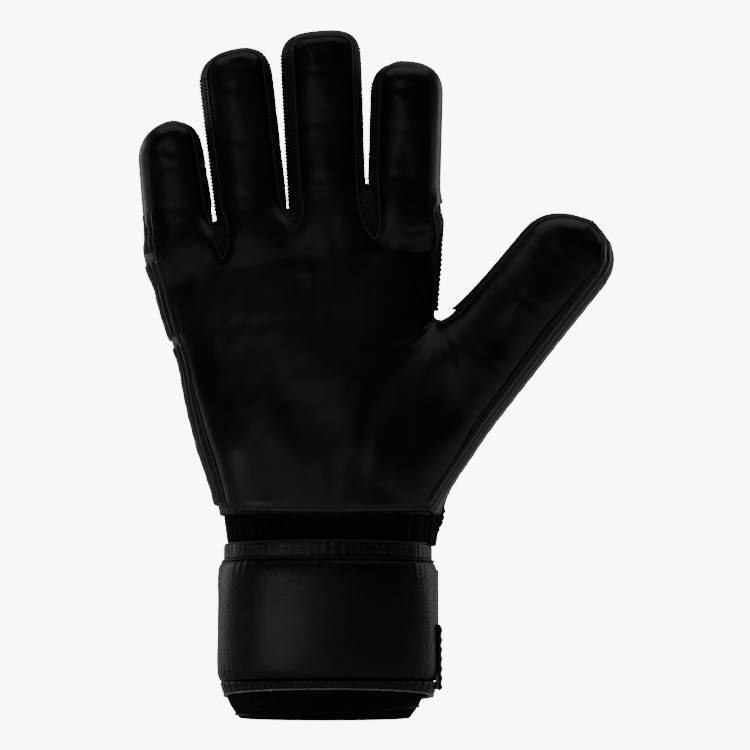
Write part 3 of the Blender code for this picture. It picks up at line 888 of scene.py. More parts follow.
PALM_CREASES = fan((43.5, 167.5), 144, 46, 8, 17, 21) + fan((47.0, 163.5), 256, 62, 9, 19, 22) + [
    ([(44.0, 163.5), (36, 157), (26, 152)], 1.4, 0.4),
    ([(43.4, 196), (37, 193.5), (31, 194)], 1.0, 0.2),
    ([(43.6, 205), (36, 202.5), (29, 203)], 1.0, 0.22),
    ([(43.6, 213), (37, 211.5), (31, 212)], 1.0, 0.18),
    ([(-58, 166), (-40, 162.5), (-20, 164), (0, 162)], 2.6, 0.12),
    ([(-62, 190), (-44, 187), (-20, 191), (6, 190), (28, 186)], 2.8, 0.12),
    ([(-50, 118), (-46, 108), (-45, 97)], 1.5, 0.25),
    ([(34, 156), (22, 138), (15, 118), (13, 98)], 3.2, 0.45),
]
FINGER_CREASES = {"little": (3, 21), "ring": (4, 28, 50), "middle": (4, 28, 50), "index": (2, 22, 40),
                  "thumb": (-4, 26, 48)}


DENTS = [
    ([(102, 206), (86, 184), (72, 162), (58, 138)], 8.0, -1.2),
    ([(112, 190), (92, 162), (70, 134)], 5.0, 0.7),
    ([(-14.5, 284), (-11.5, 279), (-8.5, 272)], 1.8, 0.35), ([(2, 287), (5, 282), (6, 275)], 2.2, 0.25),
    ([(-46, 277), (-40, 274), (-32, 275)], 2.2, 0.35), ([(-71, 240), (-66, 236), (-59, 238)], 2.2, 0.3),
    ([(26, 266), (31, 262), (39, 264)], 2.4, 0.3), ([(40, 272), (42, 262), (41, 250)], 3.0, 0.3),
    ([(93, 203), (101, 200.5), (110, 202)], 1.9, 0.35),
    ([(30, 204), (18, 190), (4, 182), (-8, 181)], 6.5, 0.8),
    ([(36, 128), (26, 112), (22, 98)], 6.0, 0.5), ([(-52, 168), (-38, 150), (-34, 128)], 7.5, 0.6),
]


def latex_relief(loop):
    def relief(p):
        palm = np.clip(-gradient(p)[:, 1], 0, 1)
        away, _ = distance_to_path(p[:, [0, 2]], loop)
        up = 0.62 * dome(away, 0.9) - 0.12
        up += 0.62 * waves(p, BROAD) * dome(away, 8.0) + 0.10 * waves(p, FINE) * dome(away, 4.0)
        for shoulder, marks in ((0.35, PALM_CREASES), (0.15, DENTS)):
            for line, width, depth in marks:
                up += crease(p, line, width, depth, shoulder)
        for digit in FINGERS:
            spine = [digit.place(s, -1.5) for s in (-14.0, digit.length * 0.4, digit.length - 2.0)]
            up += crease(p, spine, digit.width(0.0) * 0.42, -0.55, 0.1)
        for digit in DIGITS:
            for s in FINGER_CREASES[digit.name]:
                end = digit.width(s) * 0.8
                bow = [digit.place(s, -end), digit.place(s - 1.6, 0.0), digit.place(s, end)]
                up += crease(p, bow, 1.8, 0.14)
        return up * palm ** 1.5
    return relief


GROOVES = {"little": (4.5, 20.0, 33.0), "ring": (6.0, 25.0, 44.0), "middle": (6.0, 26.0, 46.0),
           "index": (4.0, 21.0, 38.0), "thumb": (-16.0, 10.0, 34.0)}
BACK_RIDGES = [
    [(-70, 184), (-40, 192), (-5, 196), (22, 194), (40, 184)],
    [(-66, 168), (-40, 176), (-5, 180), (22, 178), (40, 169)],
    [(-60, 150), (-34, 158), (-5, 161), (24, 157), (48, 147)],
    [(-55, 132), (-30, 139), (-4, 141), (22, 138), (54, 126)],
    [(-50, 114), (-26, 119), (-4, 120), (20, 118), (50, 108)],
]


def back_relief(loop):
    def relief(p):
        back = np.clip(gradient(p)[:, 1], 0, 1)
        away, _ = distance_to_path(p[:, [0, 2]], loop)
        up = 1.7 * dome(away, 2.6) - 0.5
        groove = np.zeros(len(p))
        for digit in DIGITS:
            s, q = digit.local(p[:, 0], p[:, 2])
            near = (np.abs(q) < digit.width(s) + 3) & (s > ROOT_CUT_S[digit.name] - 12)
            for at in GROOVES[digit.name]:
                bend = s - at + 0.012 * q * q
                groove = np.maximum(groove, np.exp(-(bend / 1.25) ** 2) * near)
            rib = np.exp(-((np.abs(q) - digit.width(s) * 0.5) / 0.9) ** 2)
            low = GROOVES[digit.name][0] + 2
            rib *= near * ramp(s, low, low + 3) * ramp(digit.length - s, 6, 10)
            groove = np.maximum(groove, 0.55 * rib)
        for line in BACK_RIDGES:
            path = spline(line, 1.0)
            off, index = distance_to_path(p[:, [0, 2]], path)
            fade = np.sin(np.clip(index / (len(path) - 1), 0.03, 0.97) * math.pi) ** 0.35
            groove = np.maximum(groove, np.exp(-(off / 1.3) ** 2) * fade)
        up += 0.2 * waves(p, BROAD)
        return (up - 1.25 * groove) * back ** 1.2 + 0.25 * (1 - back)
    return relief


# ---------------------------------------------------------------- strips, cords and stitches

def outward(path, side):
    tangent = unit(np.gradient(path, axis=0))
    return np.column_stack([tangent[:, 1], -tangent[:, 0]]) * side


def around(path, turns, side, depth, offset, centre):
    """Grid of points where rays turning about the inside of an outline meet the skin. Turn -90 faces
    the palm."""
    out = outward(path, side)
    spine = path - out * depth
    turns = np.radians(np.atleast_2d(np.asarray(turns, float)))
    origin = np.zeros((len(path), turns.shape[1], 3))
    origin[:, :, 0] = spine[:, None, 0]
    origin[:, :, 2] = spine[:, None, 1]
    origin[:, :, 1] = np.broadcast_to(np.asarray(centre, float).reshape(-1, 1), origin.shape[:2])
    aim = np.zeros_like(origin)
    aim[:, :, 0] = out[:, None, 0] * np.cos(turns)
    aim[:, :, 2] = out[:, None, 1] * np.cos(turns)
    aim[:, :, 1] = np.sin(turns)
    hit = cast(origin.reshape(-1, 3), aim.reshape(-1, 3), offset, 26.0, 0.7)
    return hit.reshape(origin.shape)


def facing_out(verts, faces, outwards):
    """Turns all faces over if they face in, judged against a set of outward vectors at the points."""
    normals = corner_normals(verts, faces)
    if (normals * outwards).sum() < 0:
        faces = [f[::-1] for f in faces]
        normals = -normals
    return faces, normals


def strip(name, path, turns, relief, material, depth=12.0, centre=0.0):
    """A padded strip round the side of the glove, with its border sunk under its neighbours."""
    rim, sunk = 1.6, 1.1
    share = np.linspace(0, 1, 62)
    low, high = [np.reshape(t, (-1, 1)) for t in turns]
    hit = around(path, low + (high - low) * share, -1.0, depth, 0.0, centre)
    rows, columns = hit.shape[:2]
    run = run_along(hit[:, columns // 2])
    arc = np.array([run_along(row) for row in hit])
    u = np.repeat(run[:, None], columns, axis=1)
    border = np.minimum(np.minimum(u, run[-1] - u), np.minimum(arc, arc[:, -1:] - arc))
    pillow = np.sqrt(1 - (1 - np.clip(border / rim, 0, 1)) ** 2)
    height = -sunk + (sunk + relief(u, arc)) * pillow
    flat = hit.reshape(-1, 3)
    normal = gradient(flat)
    verts = flat + normal * height.reshape(-1, 1)
    split_pieces(name, verts, *facing_out(verts, grid_faces(rows, columns), normal), material)


def sweep(points, normals, radius, sides=8):
    """Verts and faces of a cord along points. radius may vary along it."""
    radius = np.broadcast_to(np.asarray(radius, float), len(points))
    tangent = unit(np.gradient(points, axis=0))
    up = unit(normals - tangent * (normals * tangent).sum(1)[:, None])
    across = np.cross(tangent, up)
    turn = np.linspace(0, FULL_TURN, sides, endpoint=False)
    ring = up[:, None] * np.cos(turn)[:, None] + across[:, None] * np.sin(turn)[:, None]
    verts = (points[:, None] + ring * radius[:, None, None]).reshape(-1, 3)
    last = (len(points) - 1) * sides
    ends = [tuple(range(sides))[::-1], tuple(last + k for k in range(sides))]
    return verts, grid_faces(len(points), sides, True) + ends


def place_piece(name, verts, faces, shade, material, body, owner=None):
    """Rides the whole piece on one body, or cuts it up where no body is named."""
    if body:
        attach(make_object(name, verts, faces, material, shade), body)
    else:
        split_pieces(name, verts, faces, shade, material, owner)


def cord(name, points, normals, radius, material, body=None, sides=6):
    verts, faces = sweep(points, normals, radius, sides)
    faces, shade = facing_out(verts, faces, verts - np.repeat(points, sides, axis=0))
    place_piece(name, verts, faces, shade, material, body)


# A stitch from end to end: (share of its length, girth, rise), the last two in radii
STITCH = np.array([(0, 0.3, -0.7), (0.12, 0.8, -0.15), (0.35, 1.0, 0.15), (0.65, 1.0, 0.15), (0.88, 0.8, -0.15),
                   (1.0, 0.3, -0.7)])
STITCH_SIDES = 6


def stitches(name, points, normals, material, length, gap, radius, body=None):
    """A row of stitches along a line, each a small rounded capsule half sunk in the surface."""
    run = run_along(points)
    pitch, size = length + gap, len(STITCH) * STITCH_SIDES
    verts, faces = [], []
    for k in range(int(run[-1] // pitch)):
        at = k * pitch + STITCH[:, 0] * length + gap / 2
        n = rows_at(at, run, normals)
        spine = rows_at(at, run, points) + n * (radius * STITCH[:, 2])[:, None]
        stitch, quads = sweep(spine, n, radius * STITCH[:, 1], STITCH_SIDES)
        verts.append(stitch)
        faces += [tuple(v + k * size for v in f) for f in quads]
    middle = np.array([stitch.mean(0) for stitch in verts])
    verts = np.vstack(verts)
    owner = np.repeat(piece_of(middle[:, 0], middle[:, 2]), len(faces) // len(middle))
    faces, shade = facing_out(verts, faces, verts - np.repeat(middle, size, axis=0))
    place_piece(name, verts, faces, shade, material, body, owner)


# ---------------------------------------------------------------- the hand

def back_loop():
    """Outline of the back panel: nearer the sides than the latex, so its edge shows from the palm."""
    edges = [digit_edge(digit, low_left, low_right, 2.6)
             for digit, low_left, low_right in ((LITTLE, -4.0, 2.0), (RING, 1.0, 1.0), (MIDDLE, 1.0, 1.0),
                                                (INDEX, 2.0, -10.0), (THUMB, 6.0, -60.0))]
    thumb_web = [(43.9, 200), (43.6, 188), (43.0, 177), (44.2, 168.5), (50.0, 166.4)]
    loop = Loop()
    loop.add(spline([(-43.0, 87.6), (-46.4, 99.6), (-51.8, 117), (-56.2, 131.4), (-60.0, 145), (-64.0, 158.0),
                     (-69.0, 174), (-72.6, 190), (-74.4, 200), edges[0][0][0]]))
    for number, between in enumerate(([(-49.5, 209.5)], [(-17.3, 214.0)], [(15.9, 214.0)], thumb_web, None)):
        plan, _, spine, s, _ = edges[number]
        loop.add(plan, 4.2 * ramp(s, -58.0, -45.0), spine)
        if between:
            loop.add(spline([plan[-1], *between, edges[number + 1][0][0]]))
    loop.add(spline([edges[-1][0][-1], (43.5, 87.6)]))
    loop.add(spline([(43.5, 87.6), (22, 87.0), (0, 86.8), (-22, 87.0), (-43.0, 87.6)]))
    return loop.done()


def build_hand():
    outline = latex_loop()
    verts, tris, normals = panel(outline, -1, 1.2, latex_relief(outline[0]))
    split_pieces("latex", verts, [tuple(t) for t in tris], normals, LATEX)
    back = back_loop()
    verts, tris, normals = panel(back, 1, 1.3, back_relief(back[0]), 1.9, 0.8)
    split_pieces("back", verts, [tuple(t) for t in tris], normals, PAD)
    for digit in DIGITS:
        verts, faces = digit_skin(digit, -16.0 if digit is not THUMB else -56.0)
        split_tube("mesh", verts, faces, MESH, digit)
    verts, faces = hand_skin()
    split_pieces("mesh", verts, faces, corner_normals(verts, faces), MESH)
    return outline


def ridges(places, height, width, base):
    """Relief of a padded strip: parallel piping lines along it."""
    def relief(u, arc):
        up = np.zeros_like(arc) + base
        for at in places:
            up += height * np.exp(-((arc - at) / width) ** 2)
        return up + 0.08 * np.sin(u * 0.9 + arc * 0.4)
    return relief


def build_sides():
    piping = (2.0, 4.8, 7.6, 10.4, 17.0, 20.5)
    for name, low, high, step, relief, material in [
            ("side_pad_0", 88.5, 155.6, 1.1, ridges(piping, 0.9, 0.66, -0.1), PAD),
            ("side_pad_1", 157.8, 191.2, 1.1, ridges(piping, 0.9, 0.66, 0.15), PAD),
            ("side_pad_2", 193.4, 213.0, 1.1, ridges(piping, 0.9, 0.66, -0.45), PAD),
            ("side_groove_0", 153.8, 159.6, 0.8, ridges((4.0, 9.0, 14.0), 0.2, 1.2, -0.35), ACCENT),
            ("side_groove_1", 189.4, 195.2, 0.8, ridges((4.0, 9.0, 14.0), 0.2, 1.2, -0.35), ACCENT)]:
        z = np.arange(low, high + 0.1, step)
        strip(name, np.column_stack([LEFT(z), z]), (-62, 58), relief, material)
    _, _, _, s, outer = digit_edge(THUMB, 10.0, -64.0, 1.0, 1.1)
    order = np.arange(len(s))
    right = ramp(order, np.argmax(s), np.argmax(s) + 14)
    rise = -1.1 + 1.15 * ramp(order, 2, 14) + 0.75 * right
    strip("thumb_pad", outer, (-40 - 26 * right, 60 + 0 * right),
          ridges((1.8, 4.6, 7.4, 17.0, 21.0), 0.55, 0.7, rise[:, None]), PAD, 12.0, THUMB.centre_y(s))
    edge = spline([(47.0, 212), (47.0, 203), (46.1, 190), (44.6, 178), (44.2, 170.5), (47.0, 167.0),
                   (54.0, 173), (62.0, 182.5)], 1.0)
    rise = -1.0 + 0.7 * ramp(np.arange(len(edge)), 0, 10)
    strip("crotch", edge, (-50, 60), ridges((3.0, 6.0, 14.0), 0.3, 0.9, rise[:, None]), MESH, 11.0)


def runs(keep):
    """Start and end of each unbroken run of true values round a loop."""
    starts = [i for i in range(len(keep)) if keep[i] and not keep[i - 1]]
    for start in starts:
        end = start
        while keep[(end + 1) % len(keep)] and end - start < len(keep):
            end += 1
        yield np.arange(start, end + 1) % len(keep)


def build_piping(outline):
    """A fine rolled edge along the latex wherever it isn't wrapped round a side."""
    loop, wraps, _ = outline
    out = np.roll(loop, -1, axis=0) - np.roll(loop, 1, axis=0)
    out = unit(np.column_stack([out[:, 1], -out[:, 0]]))
    if inside_polygon(loop + out * 0.8, loop).mean() > 0.5:
        out = -out
    plan = loop + out * 0.75
    for number, run in enumerate(runs(wraps < 2.5)):
        if len(run) < 12:
            continue
        points = lift(plan[run], -1)
        # the piping wears the lightened seam thread, whose colour is partly painted highlight
        cord(f"latex_edge_{number}", points, gradient(points), 0.34, SEAM_WITH_PAINTED_HIGHLIGHT)


def build_gusset_seams():
    """Rows of small stitches on the mesh beside the latex."""
    for digit, side, low in [(LITTLE, 1, 2.0), (RING, -1, -18.0), (RING, 1, 0.0), (MIDDLE, -1, -14.0),
                             (MIDDLE, 1, -8.0), (INDEX, -1, -20.0)]:
        s = np.arange(low, digit.length - digit.cap + 4.0, 0.8)
        q = side * digit.width(s)
        lean = digit.slant(q) * ramp(s, digit.length - 30, digit.length - 10)
        for row, turn in enumerate((-44.0, -34.0, -20.0)):
            line = around(np.column_stack(digit.place(s + lean, q)), [turn], side, 12.0, -0.3,
                          digit.centre_y(s))[:, 0]
            name = f"gusset_stitch_{digit.name}_{row}_{'r' if side > 0 else 'l'}"
            stitches(name, line, gradient(line), SEAM_WITH_PAINTED_HIGHLIGHT, 0.75, 0.75, 0.3)


def build_edges(outline):
    """Beaded elastic at the index base, the thumb's double welt, and the seams beside the latex."""
    z = np.arange(170.5, 210.0, 0.4)
    x = np.interp(z, [169, 176, 190, 205, 210], [44.6, 45.0, 46.2, 47.0, 47.0])
    points = np.column_stack([x, np.full_like(z, -5.0), z])
    out = np.column_stack([np.ones_like(z), 0 * z - 0.3, 0 * z])
    beads = 0.75 + 0.6 * np.abs(np.sin(z * math.pi / 2.1))
    cord("bead_edge", points, out, beads, MESH, None, 8)
    _, _, _, s, outer = digit_edge(THUMB, 11.0, 45.0, 1.0)
    for number, (turn, size) in enumerate(((-36.0, 0.45), (-19.0, 0.5))):
        grid = around(outer, [turn], -1.0, 10.0, 0.4, THUMB.centre_y(s))[:, 0]
        cord(f"thumb_welt_{number}", grid, gradient(grid), size, THREAD)
    build_piping(outline)
    build_gusset_seams()


# ---------------------------------------------------------------- the cuff

STRAP_X, STRAP_HALF = -0.4, (46.1, 26.0)
STRAP_LOW, STRAP_HIGH = 15.0, 67.0
CUFF_X = -1.5
RIM_TILT = 1.7      # how much higher the strap's rim rides over the palm
HEM_LOW, HEM_HIGH = 10.7, 16.4


def ellipse_grid(centre, half_width, half_depth, angles, z):
    """Points on ellipses, one row for each height. The half widths may change down the rows."""
    turn = np.radians(angles)[None, :]
    shape = (len(z), len(angles))
    x = centre + np.reshape(half_width, (-1, 1)) * np.cos(turn)
    y = np.reshape(half_depth, (-1, 1)) * np.sin(turn)
    return np.dstack([np.broadcast_to(x, shape), np.broadcast_to(y, shape),
                      np.broadcast_to(np.reshape(z, (-1, 1)), shape)]).copy()


def ring_piece(name, profile, centre, material, ripple, tilts=np.zeros_like, count=360):
    """A lathe-like oval piece: profile rows are (half width, half depth, z), closed on itself."""
    angles = np.linspace(0, 360, count, endpoint=False)
    half_width, half_depth, z = np.array(profile, float).T
    grid = ellipse_grid(centre, half_width, half_depth, angles, z)
    push_out(grid, angles, ripple(angles[None, :], z[:, None]))
    tilt(grid, np.reshape(tilts(z), (-1, 1)))
    verts = grid.reshape(-1, 3)
    faces = grid_faces(len(profile) + 1, count, True)
    faces = [tuple(v % len(verts) for v in f) for f in faces]
    normals = corner_normals(verts, faces)
    a, b, c, d = (verts[corner] for corner in np.array(faces).T)
    if (a * (np.cross(b, c) + np.cross(c, d))).sum() < 0:
        faces = [f[::-1] for f in faces]
        normals = -normals
    return make_object(name, verts, faces, material, normals)


def push_out(grid, angles, distance):
    """Moves the points of a ring grid away from the wrist."""
    turn = np.radians(angles)
    grid[:, :, 0] += distance * np.cos(turn)
    grid[:, :, 1] += distance * np.sin(turn)


def rounded(outer, inner, low, high, corner):
    """Profile rows of a band of rounded section between two (half width, half depth) pairs."""
    face = [(*outer, z) for z in np.linspace(low + corner, high - corner, 11)]
    quarter = np.arange(1, 6) / 5 * math.pi / 2
    drops = [(corner * (1 - math.cos(turn)), corner * (1 - math.sin(turn))) for turn in quarter]
    top = [(outer[0] - drop, outer[1] - drop, high - rest) for drop, rest in drops]
    bottom = [(outer[0] - drop, outer[1] - drop, low + rest) for drop, rest in drops[::-1]]
    back = [(*inner, z) for z in np.linspace(high - 0.4, low + 0.4, 4)]
    edge = inner[0] + 0.3, inner[1] + 0.3
    return face + top + [(*edge, high)] + back + [(*edge, low)] + bottom


def tilt(grid, height=RIM_TILT):
    """The strap's rim rides higher over the palm than over the back."""
    grid[:, :, 2] -= height * grid[:, :, 1] / STRAP_HALF[1]


def rim_tilt(z):
    """The bottom rim arches up over the palm more than the rest of the strap."""
    return np.interp(z, [HEM_LOW, HEM_HIGH], [4.2, RIM_TILT])


def puckers(seed, count, depth):
    """Small random gathers round the wrist, as a function of angle and height."""
    rng = np.random.default_rng(seed)
    freq = rng.integers(20, 90, count)
    phase = rng.uniform(0, 6.28, count)
    slope = rng.uniform(-0.05, 0.05, count)

    def ripple(angles, z):
        total = sum(np.sin(np.radians(angles) * f + p + z * t) for f, p, t in zip(freq, phase, slope))
        return depth * total / math.sqrt(count)
    return ripple


def inflated_strap(columns=168, rows=19):
    """Outer face of the padded strap, blown up by a cloth simulation with its hems held."""
    z = np.linspace(STRAP_LOW, STRAP_HIGH, rows)
    angles = np.linspace(0, 360, columns, endpoint=False)
    tuck = 2.6 * np.exp(-np.minimum(z - STRAP_LOW, STRAP_HIGH - z) / 2.2)
    crown = 0.8 * np.sin(np.clip((z - STRAP_LOW) / (STRAP_HIGH - STRAP_LOW), 0, 1) * math.pi) ** 0.5
    half_width, half_depth = (half - 0.9 - tuck + crown for half in STRAP_HALF)
    start = ellipse_grid(STRAP_X, half_width, half_depth, angles, z).reshape(-1, 3)
    moved = start
    numbers = list(range(rows * columns))
    moved = blow_up(start, grid_faces(rows, columns, True), numbers[:columns] + numbers[-columns:])
    turn = np.tile(np.radians(angles), rows)
    out = radial(turn)
    under_flap = ramp(np.sin(turn), -0.1, 0.3)
    shift = np.clip(((moved - start) * out).sum(1), -0.4, 0.9 - 0.6 * under_flap)
    return (start + out * shift[:, None]).reshape(rows, columns, 3)


def blow_up(points, faces, held):
    """Runs Blender's cloth with pressure on a sheet whose held points stay put. Returns the new points."""
    mesh = bpy.data.meshes.new("inflating")
    mesh.from_pydata((points * MM).tolist(), [], [list(f) for f in faces])
    thing = link("inflating", mesh)
    group = thing.vertex_groups.new(name="held")
    group.add(held, 1.0, "REPLACE")
    cloth = thing.modifiers.new("cloth", "CLOTH")
    settings = cloth.settings
    settings.effector_weights.gravity = 0.0
    settings.use_pressure = True
    settings.uniform_pressure_force = 4.0
    settings.vertex_group_mass = "held"
    settings.quality = 6
    settings.mass = 0.25
    settings.tension_stiffness = settings.compression_stiffness = 12.0
    settings.shear_stiffness = 6.0
    settings.bending_stiffness = 0.4
    settings.shrink_min = -0.004
    cloth.point_cache.frame_start, cloth.point_cache.frame_end = 1, 20
    scene = bpy.context.scene
    for step in range(1, 21):
        scene.frame_set(step)
    done = thing.evaluated_get(bpy.context.evaluated_depsgraph_get())
    flat = np.empty(len(points) * 3)
    done.data.vertices.foreach_get("co", flat)
    scene.frame_set(1)
    bpy.data.objects.remove(thing)
    bpy.data.meshes.remove(mesh)
    return flat.reshape(-1, 3) / MM


def finer(grid):
    """Doubles a ring grid both ways with smooth in-between points."""
    wide = np.empty((grid.shape[0], grid.shape[1] * 2, 3))
    wide[:, ::2] = grid
    a, b, c, d = np.roll(grid, 1, 1), grid, np.roll(grid, -1, 1), np.roll(grid, -2, 1)
    wide[:, 1::2] = (9 * (b + c) - a - d) / 16
    tall = np.empty((wide.shape[0] * 2 - 1, wide.shape[1], 3))
    tall[::2] = wide
    padded = np.vstack([wide[:1] * 2 - wide[1:2], wide, wide[-1:] * 2 - wide[-2:-1]])
    tall[1::2] = (9 * (padded[1:-2] + padded[2:-1]) - padded[:-3] - padded[3:]) / 16
    return tall


def build_strap():
    grid = finer(inflated_strap())
    rows, columns = grid.shape[:2]
    angles = np.linspace(0, 360, columns, endpoint=False)
    z = grid[:, 0, 2]
    near = np.exp(-np.minimum(z - STRAP_LOW, STRAP_HIGH - z) / 4.0)[:, None]
    push_out(grid, angles, puckers(11, 7, 0.22)(angles[None, :], z[:, None]) * near)
    inner = ellipse_grid(STRAP_X, np.full(rows, 42.0), np.full(rows, 22.4), angles, z)
    tilt(grid)
    tilt(inner)
    verts = np.vstack([grid.reshape(-1, 3), inner.reshape(-1, 3)])
    half = rows * columns
    faces = grid_faces(rows, columns, True)
    faces += [tuple(v + half for v in f[::-1]) for f in faces]
    top = half - columns
    for c in range(columns):
        d = (c + 1) % columns
        faces += [(c, half + c, half + d, d), (top + c, top + d, half + top + d, half + top + c)]
    guess = radial(np.tile(np.radians(angles), rows))
    faces, normals = facing_out(verts, faces, np.vstack([guess, -guess]))
    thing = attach(make_object("strap_pad", verts, faces, STRAP, normals), "cuff")
    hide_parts("strap_band")


def oval_line(centre, half_width, half_depth, z, angles):
    """Points on an oval round the wrist, and the ways out from it."""
    out = radial(np.radians(angles))
    return out * (half_width, half_depth, 0) + (centre, 0, z), out


def frill(angles, z):
    """The elastic's seamed end stands out in a small frill on the thumb side."""
    near = np.exp(-((np.mod(angles + 180, 360) - 180) / 7.0) ** 2)
    return near * ramp(z, 76, 84) * (1.5 + 0.7 * np.sin(z * 2.4 + angles * 0.6))


def build_hems():
    """The strap's stitched hems, with their rows of stitches and raised edges."""
    top = ring_piece("strap_hem_top", rounded((43.3, 24.2), (41.0, 22.2), 66.0, 72.6, 1.0), -0.3, HEM,
                     puckers(5, 6, 0.10), rim_tilt)
    profile = np.array(rounded((44.9, 25.4), (42.4, 22.8), HEM_LOW, HEM_HIGH, 0.8))
    profile[:, :2] -= ramp(16.0 - profile[:, 2:], 0, 5) * (1.3, 1.0)
    low = ring_piece("strap_hem_bottom", profile, 0.2, HEM, puckers(6, 6, 0.12), rim_tilt)
    for thing, node in ((top, "strap_top_hem"), (low, "strap_bottom_hem")):
        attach(thing, "cuff")
        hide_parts(node)

    def tilted_oval(oval):
        points, normals = oval_line(*oval, np.linspace(0, 360, 500))
        tilt(points[None], rim_tilt(oval[-1]))
        return points, normals

    for number, oval in enumerate([(-0.3, 43.32, 24.22, 67.9), (-0.3, 43.32, 24.22, 70.6),
                                   (0.2, 44.1, 24.75, 12.9)]):
        stitches(f"hem_stitch_{number}", *tilted_oval(oval), THREAD, 1.9, 0.9, 0.17, "cuff")
    # the cord on the bottom rim wears the near-white painted highlight material
    for number, (oval, size, material) in enumerate([((-0.3, 42.9, 23.8, 72.7), 0.32, THREAD),
                                                     ((0.2, 43.4, 24.2, HEM_LOW), 0.3, PAINTED_RIM_HIGHLIGHT),
                                                     ((-0.3, 43.9, 24.8, 65.9), 0.5, HEM)]):
        cord(f"strap_edge_{number}", *tilted_oval(oval), size, material, "cuff")


def build_inner_cuff():
    """The knit lining of the cuff, with the edge of its overlap below the strap."""
    profile = [(35.2, 18.6, 2.0), (36.6, 19.6, 3.8), (38.7, 20.9, 6.8), (40.0, 21.5, 9.6), (40.4, 21.7, 14.0),
               (39.6, 21.2, 40.0), (39.4, 21.2, 72.0), (37.2, 19.0, 72.4), (36.6, 18.4, 60), (36.6, 18.4, 30),
               (36.4, 18.2, 8.0), (33.6, 17.0, 3.4), (33.8, 17.2, 1.9), (34.6, 18.0, 1.6)]
    knit = ring_piece("cuff_inner", profile, CUFF_X, KNIT,
                      lambda angles, z: 0.22 * np.cos(np.radians(angles) * 90) * np.ones_like(z))
    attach(knit, "cuff")
    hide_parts("inner_cuff")
    points, normals = oval_line(CUFF_X, 35.6, 18.9, 0.0, np.linspace(184, 356, 240))
    points[:, 2] = 3.4 + 3.2 * ramp(points[:, 0], -38, 40)
    points[:, :2] *= np.interp(points[:, 2], [2.0, 3.8, 6.8, 9.6], [1.0, 1.045, 1.105, 1.13])[:, None]
    cord("cuff_overlap_edge", points, normals, 0.5, HEM, "cuff")


def build_elastic():
    """The gathered elastic round the wrist, with the stitches along its top."""
    face = np.array([(43.0, 18.9, 72.4), (43.4, 19.4, 75.0), (44.0, 20.2, 79.0), (44.6, 21.2, 83.0),
                     (45.0, 22.0, 86.4), (45.3, 22.5, 87.6)])
    back = [(45.0, 22.3, 88.6), (43.6, 21.2, 88.4), (42.8, 20.2, 86.0), (42.0, 19.0, 80.0), (41.0, 17.4, 73.0),
            (41.6, 17.6, 72.2)]
    gather = puckers(9, 8, 0.3)
    elastic = ring_piece("wrist_elastic_band",
                         np.vstack([rows_at(np.arange(0, 5.1, 0.25), np.arange(6), face), back]), 1.3, ELASTIC,
                         lambda angles, z: gather(angles, z) + 0.10 * np.cos(np.radians(angles) * 120)
                         + 0.10 * np.cos(z * 4.2) + frill(angles, z), count=480)
    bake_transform(elastic)
    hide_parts("wrist_elastic")
    points, normals = oval_line(1.3, 45.5, 22.8, 87.2, np.linspace(182, 358, 400))
    points[:, 2] += 0.5 * np.sin(np.arange(400) * 1.9)
    stitches("elastic_serge", points, normals, THREAD, 0.9, 0.5, 0.45, "hand")


def build_cuff():
    build_strap()
    build_hems()
    build_inner_cuff()
    build_elastic()


def settled(angle):
    """0 over the back, 1 at the pulled end, where the flap lies close to the strap."""
    return ramp(38.0 - angle, 0, 28)


def flap_offset(offset, angle):
    """Distance off the strap of a flap surface, drawn in towards the pulled end."""
    return offset + (0.15 + (offset - 2.15) * 0.42 - offset) * settled(angle)


def off_strap(angle, out, z):
    """Points at a distance off the strap."""
    turn = np.radians(angle)
    return np.dstack([STRAP_X + (STRAP_HALF[0] + out) * np.cos(turn), (STRAP_HALF[1] + out) * np.sin(turn),
                      z]).reshape(-1, 3)


def curved_sheet(name, node, offsets, angles, heights, material, body, columns, rows, relief):
    """A padded sheet on the outside of the strap, with rounded edges."""
    u, v = np.meshgrid(np.linspace(0, 1, columns), np.linspace(0, 1, rows))
    width = abs(angles[1] - angles[0]) * math.radians(1) * 38.0
    tall = heights[1] - heights[0]
    border = np.minimum(np.minimum(u, 1 - u) * width, np.minimum(v, 1 - v) * tall)
    pillow = np.sqrt(np.clip(1 - (1 - np.clip(border / 1.2, 0, 1)) ** 2, 0, 1))
    fat = offsets[1] - offsets[0]
    angle = angles[0] + (angles[1] - angles[0]) * u
    reach = flap_offset(offsets[0] + fat * (0.35 + 0.65 * pillow), angle)
    reach = reach + relief(u * width, v * tall, width, tall) * pillow
    z = heights[0] + tall * v
    verts = np.vstack([off_strap(angle, reach, z), off_strap(angle, flap_offset(offsets[0], angle), z)])
    faces = grid_faces(rows, columns)
    half = rows * columns
    number = np.arange(half).reshape(rows, columns)
    ring = np.concatenate([number[0], number[1:, -1], number[-1, -2::-1], number[-2:0:-1, 0]]).tolist()
    faces += [tuple(v2 + half for v2 in f[::-1]) for f in faces]
    faces += [(b, a, a + half, b + half) for a, b in zip(ring, ring[1:] + ring[:1])]
    guess = radial(np.radians(angle).ravel())
    faces, normals = facing_out(verts, faces, np.vstack([guess, -guess]))
    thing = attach(make_object(name, verts, faces, material, normals), body)
    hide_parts(node)


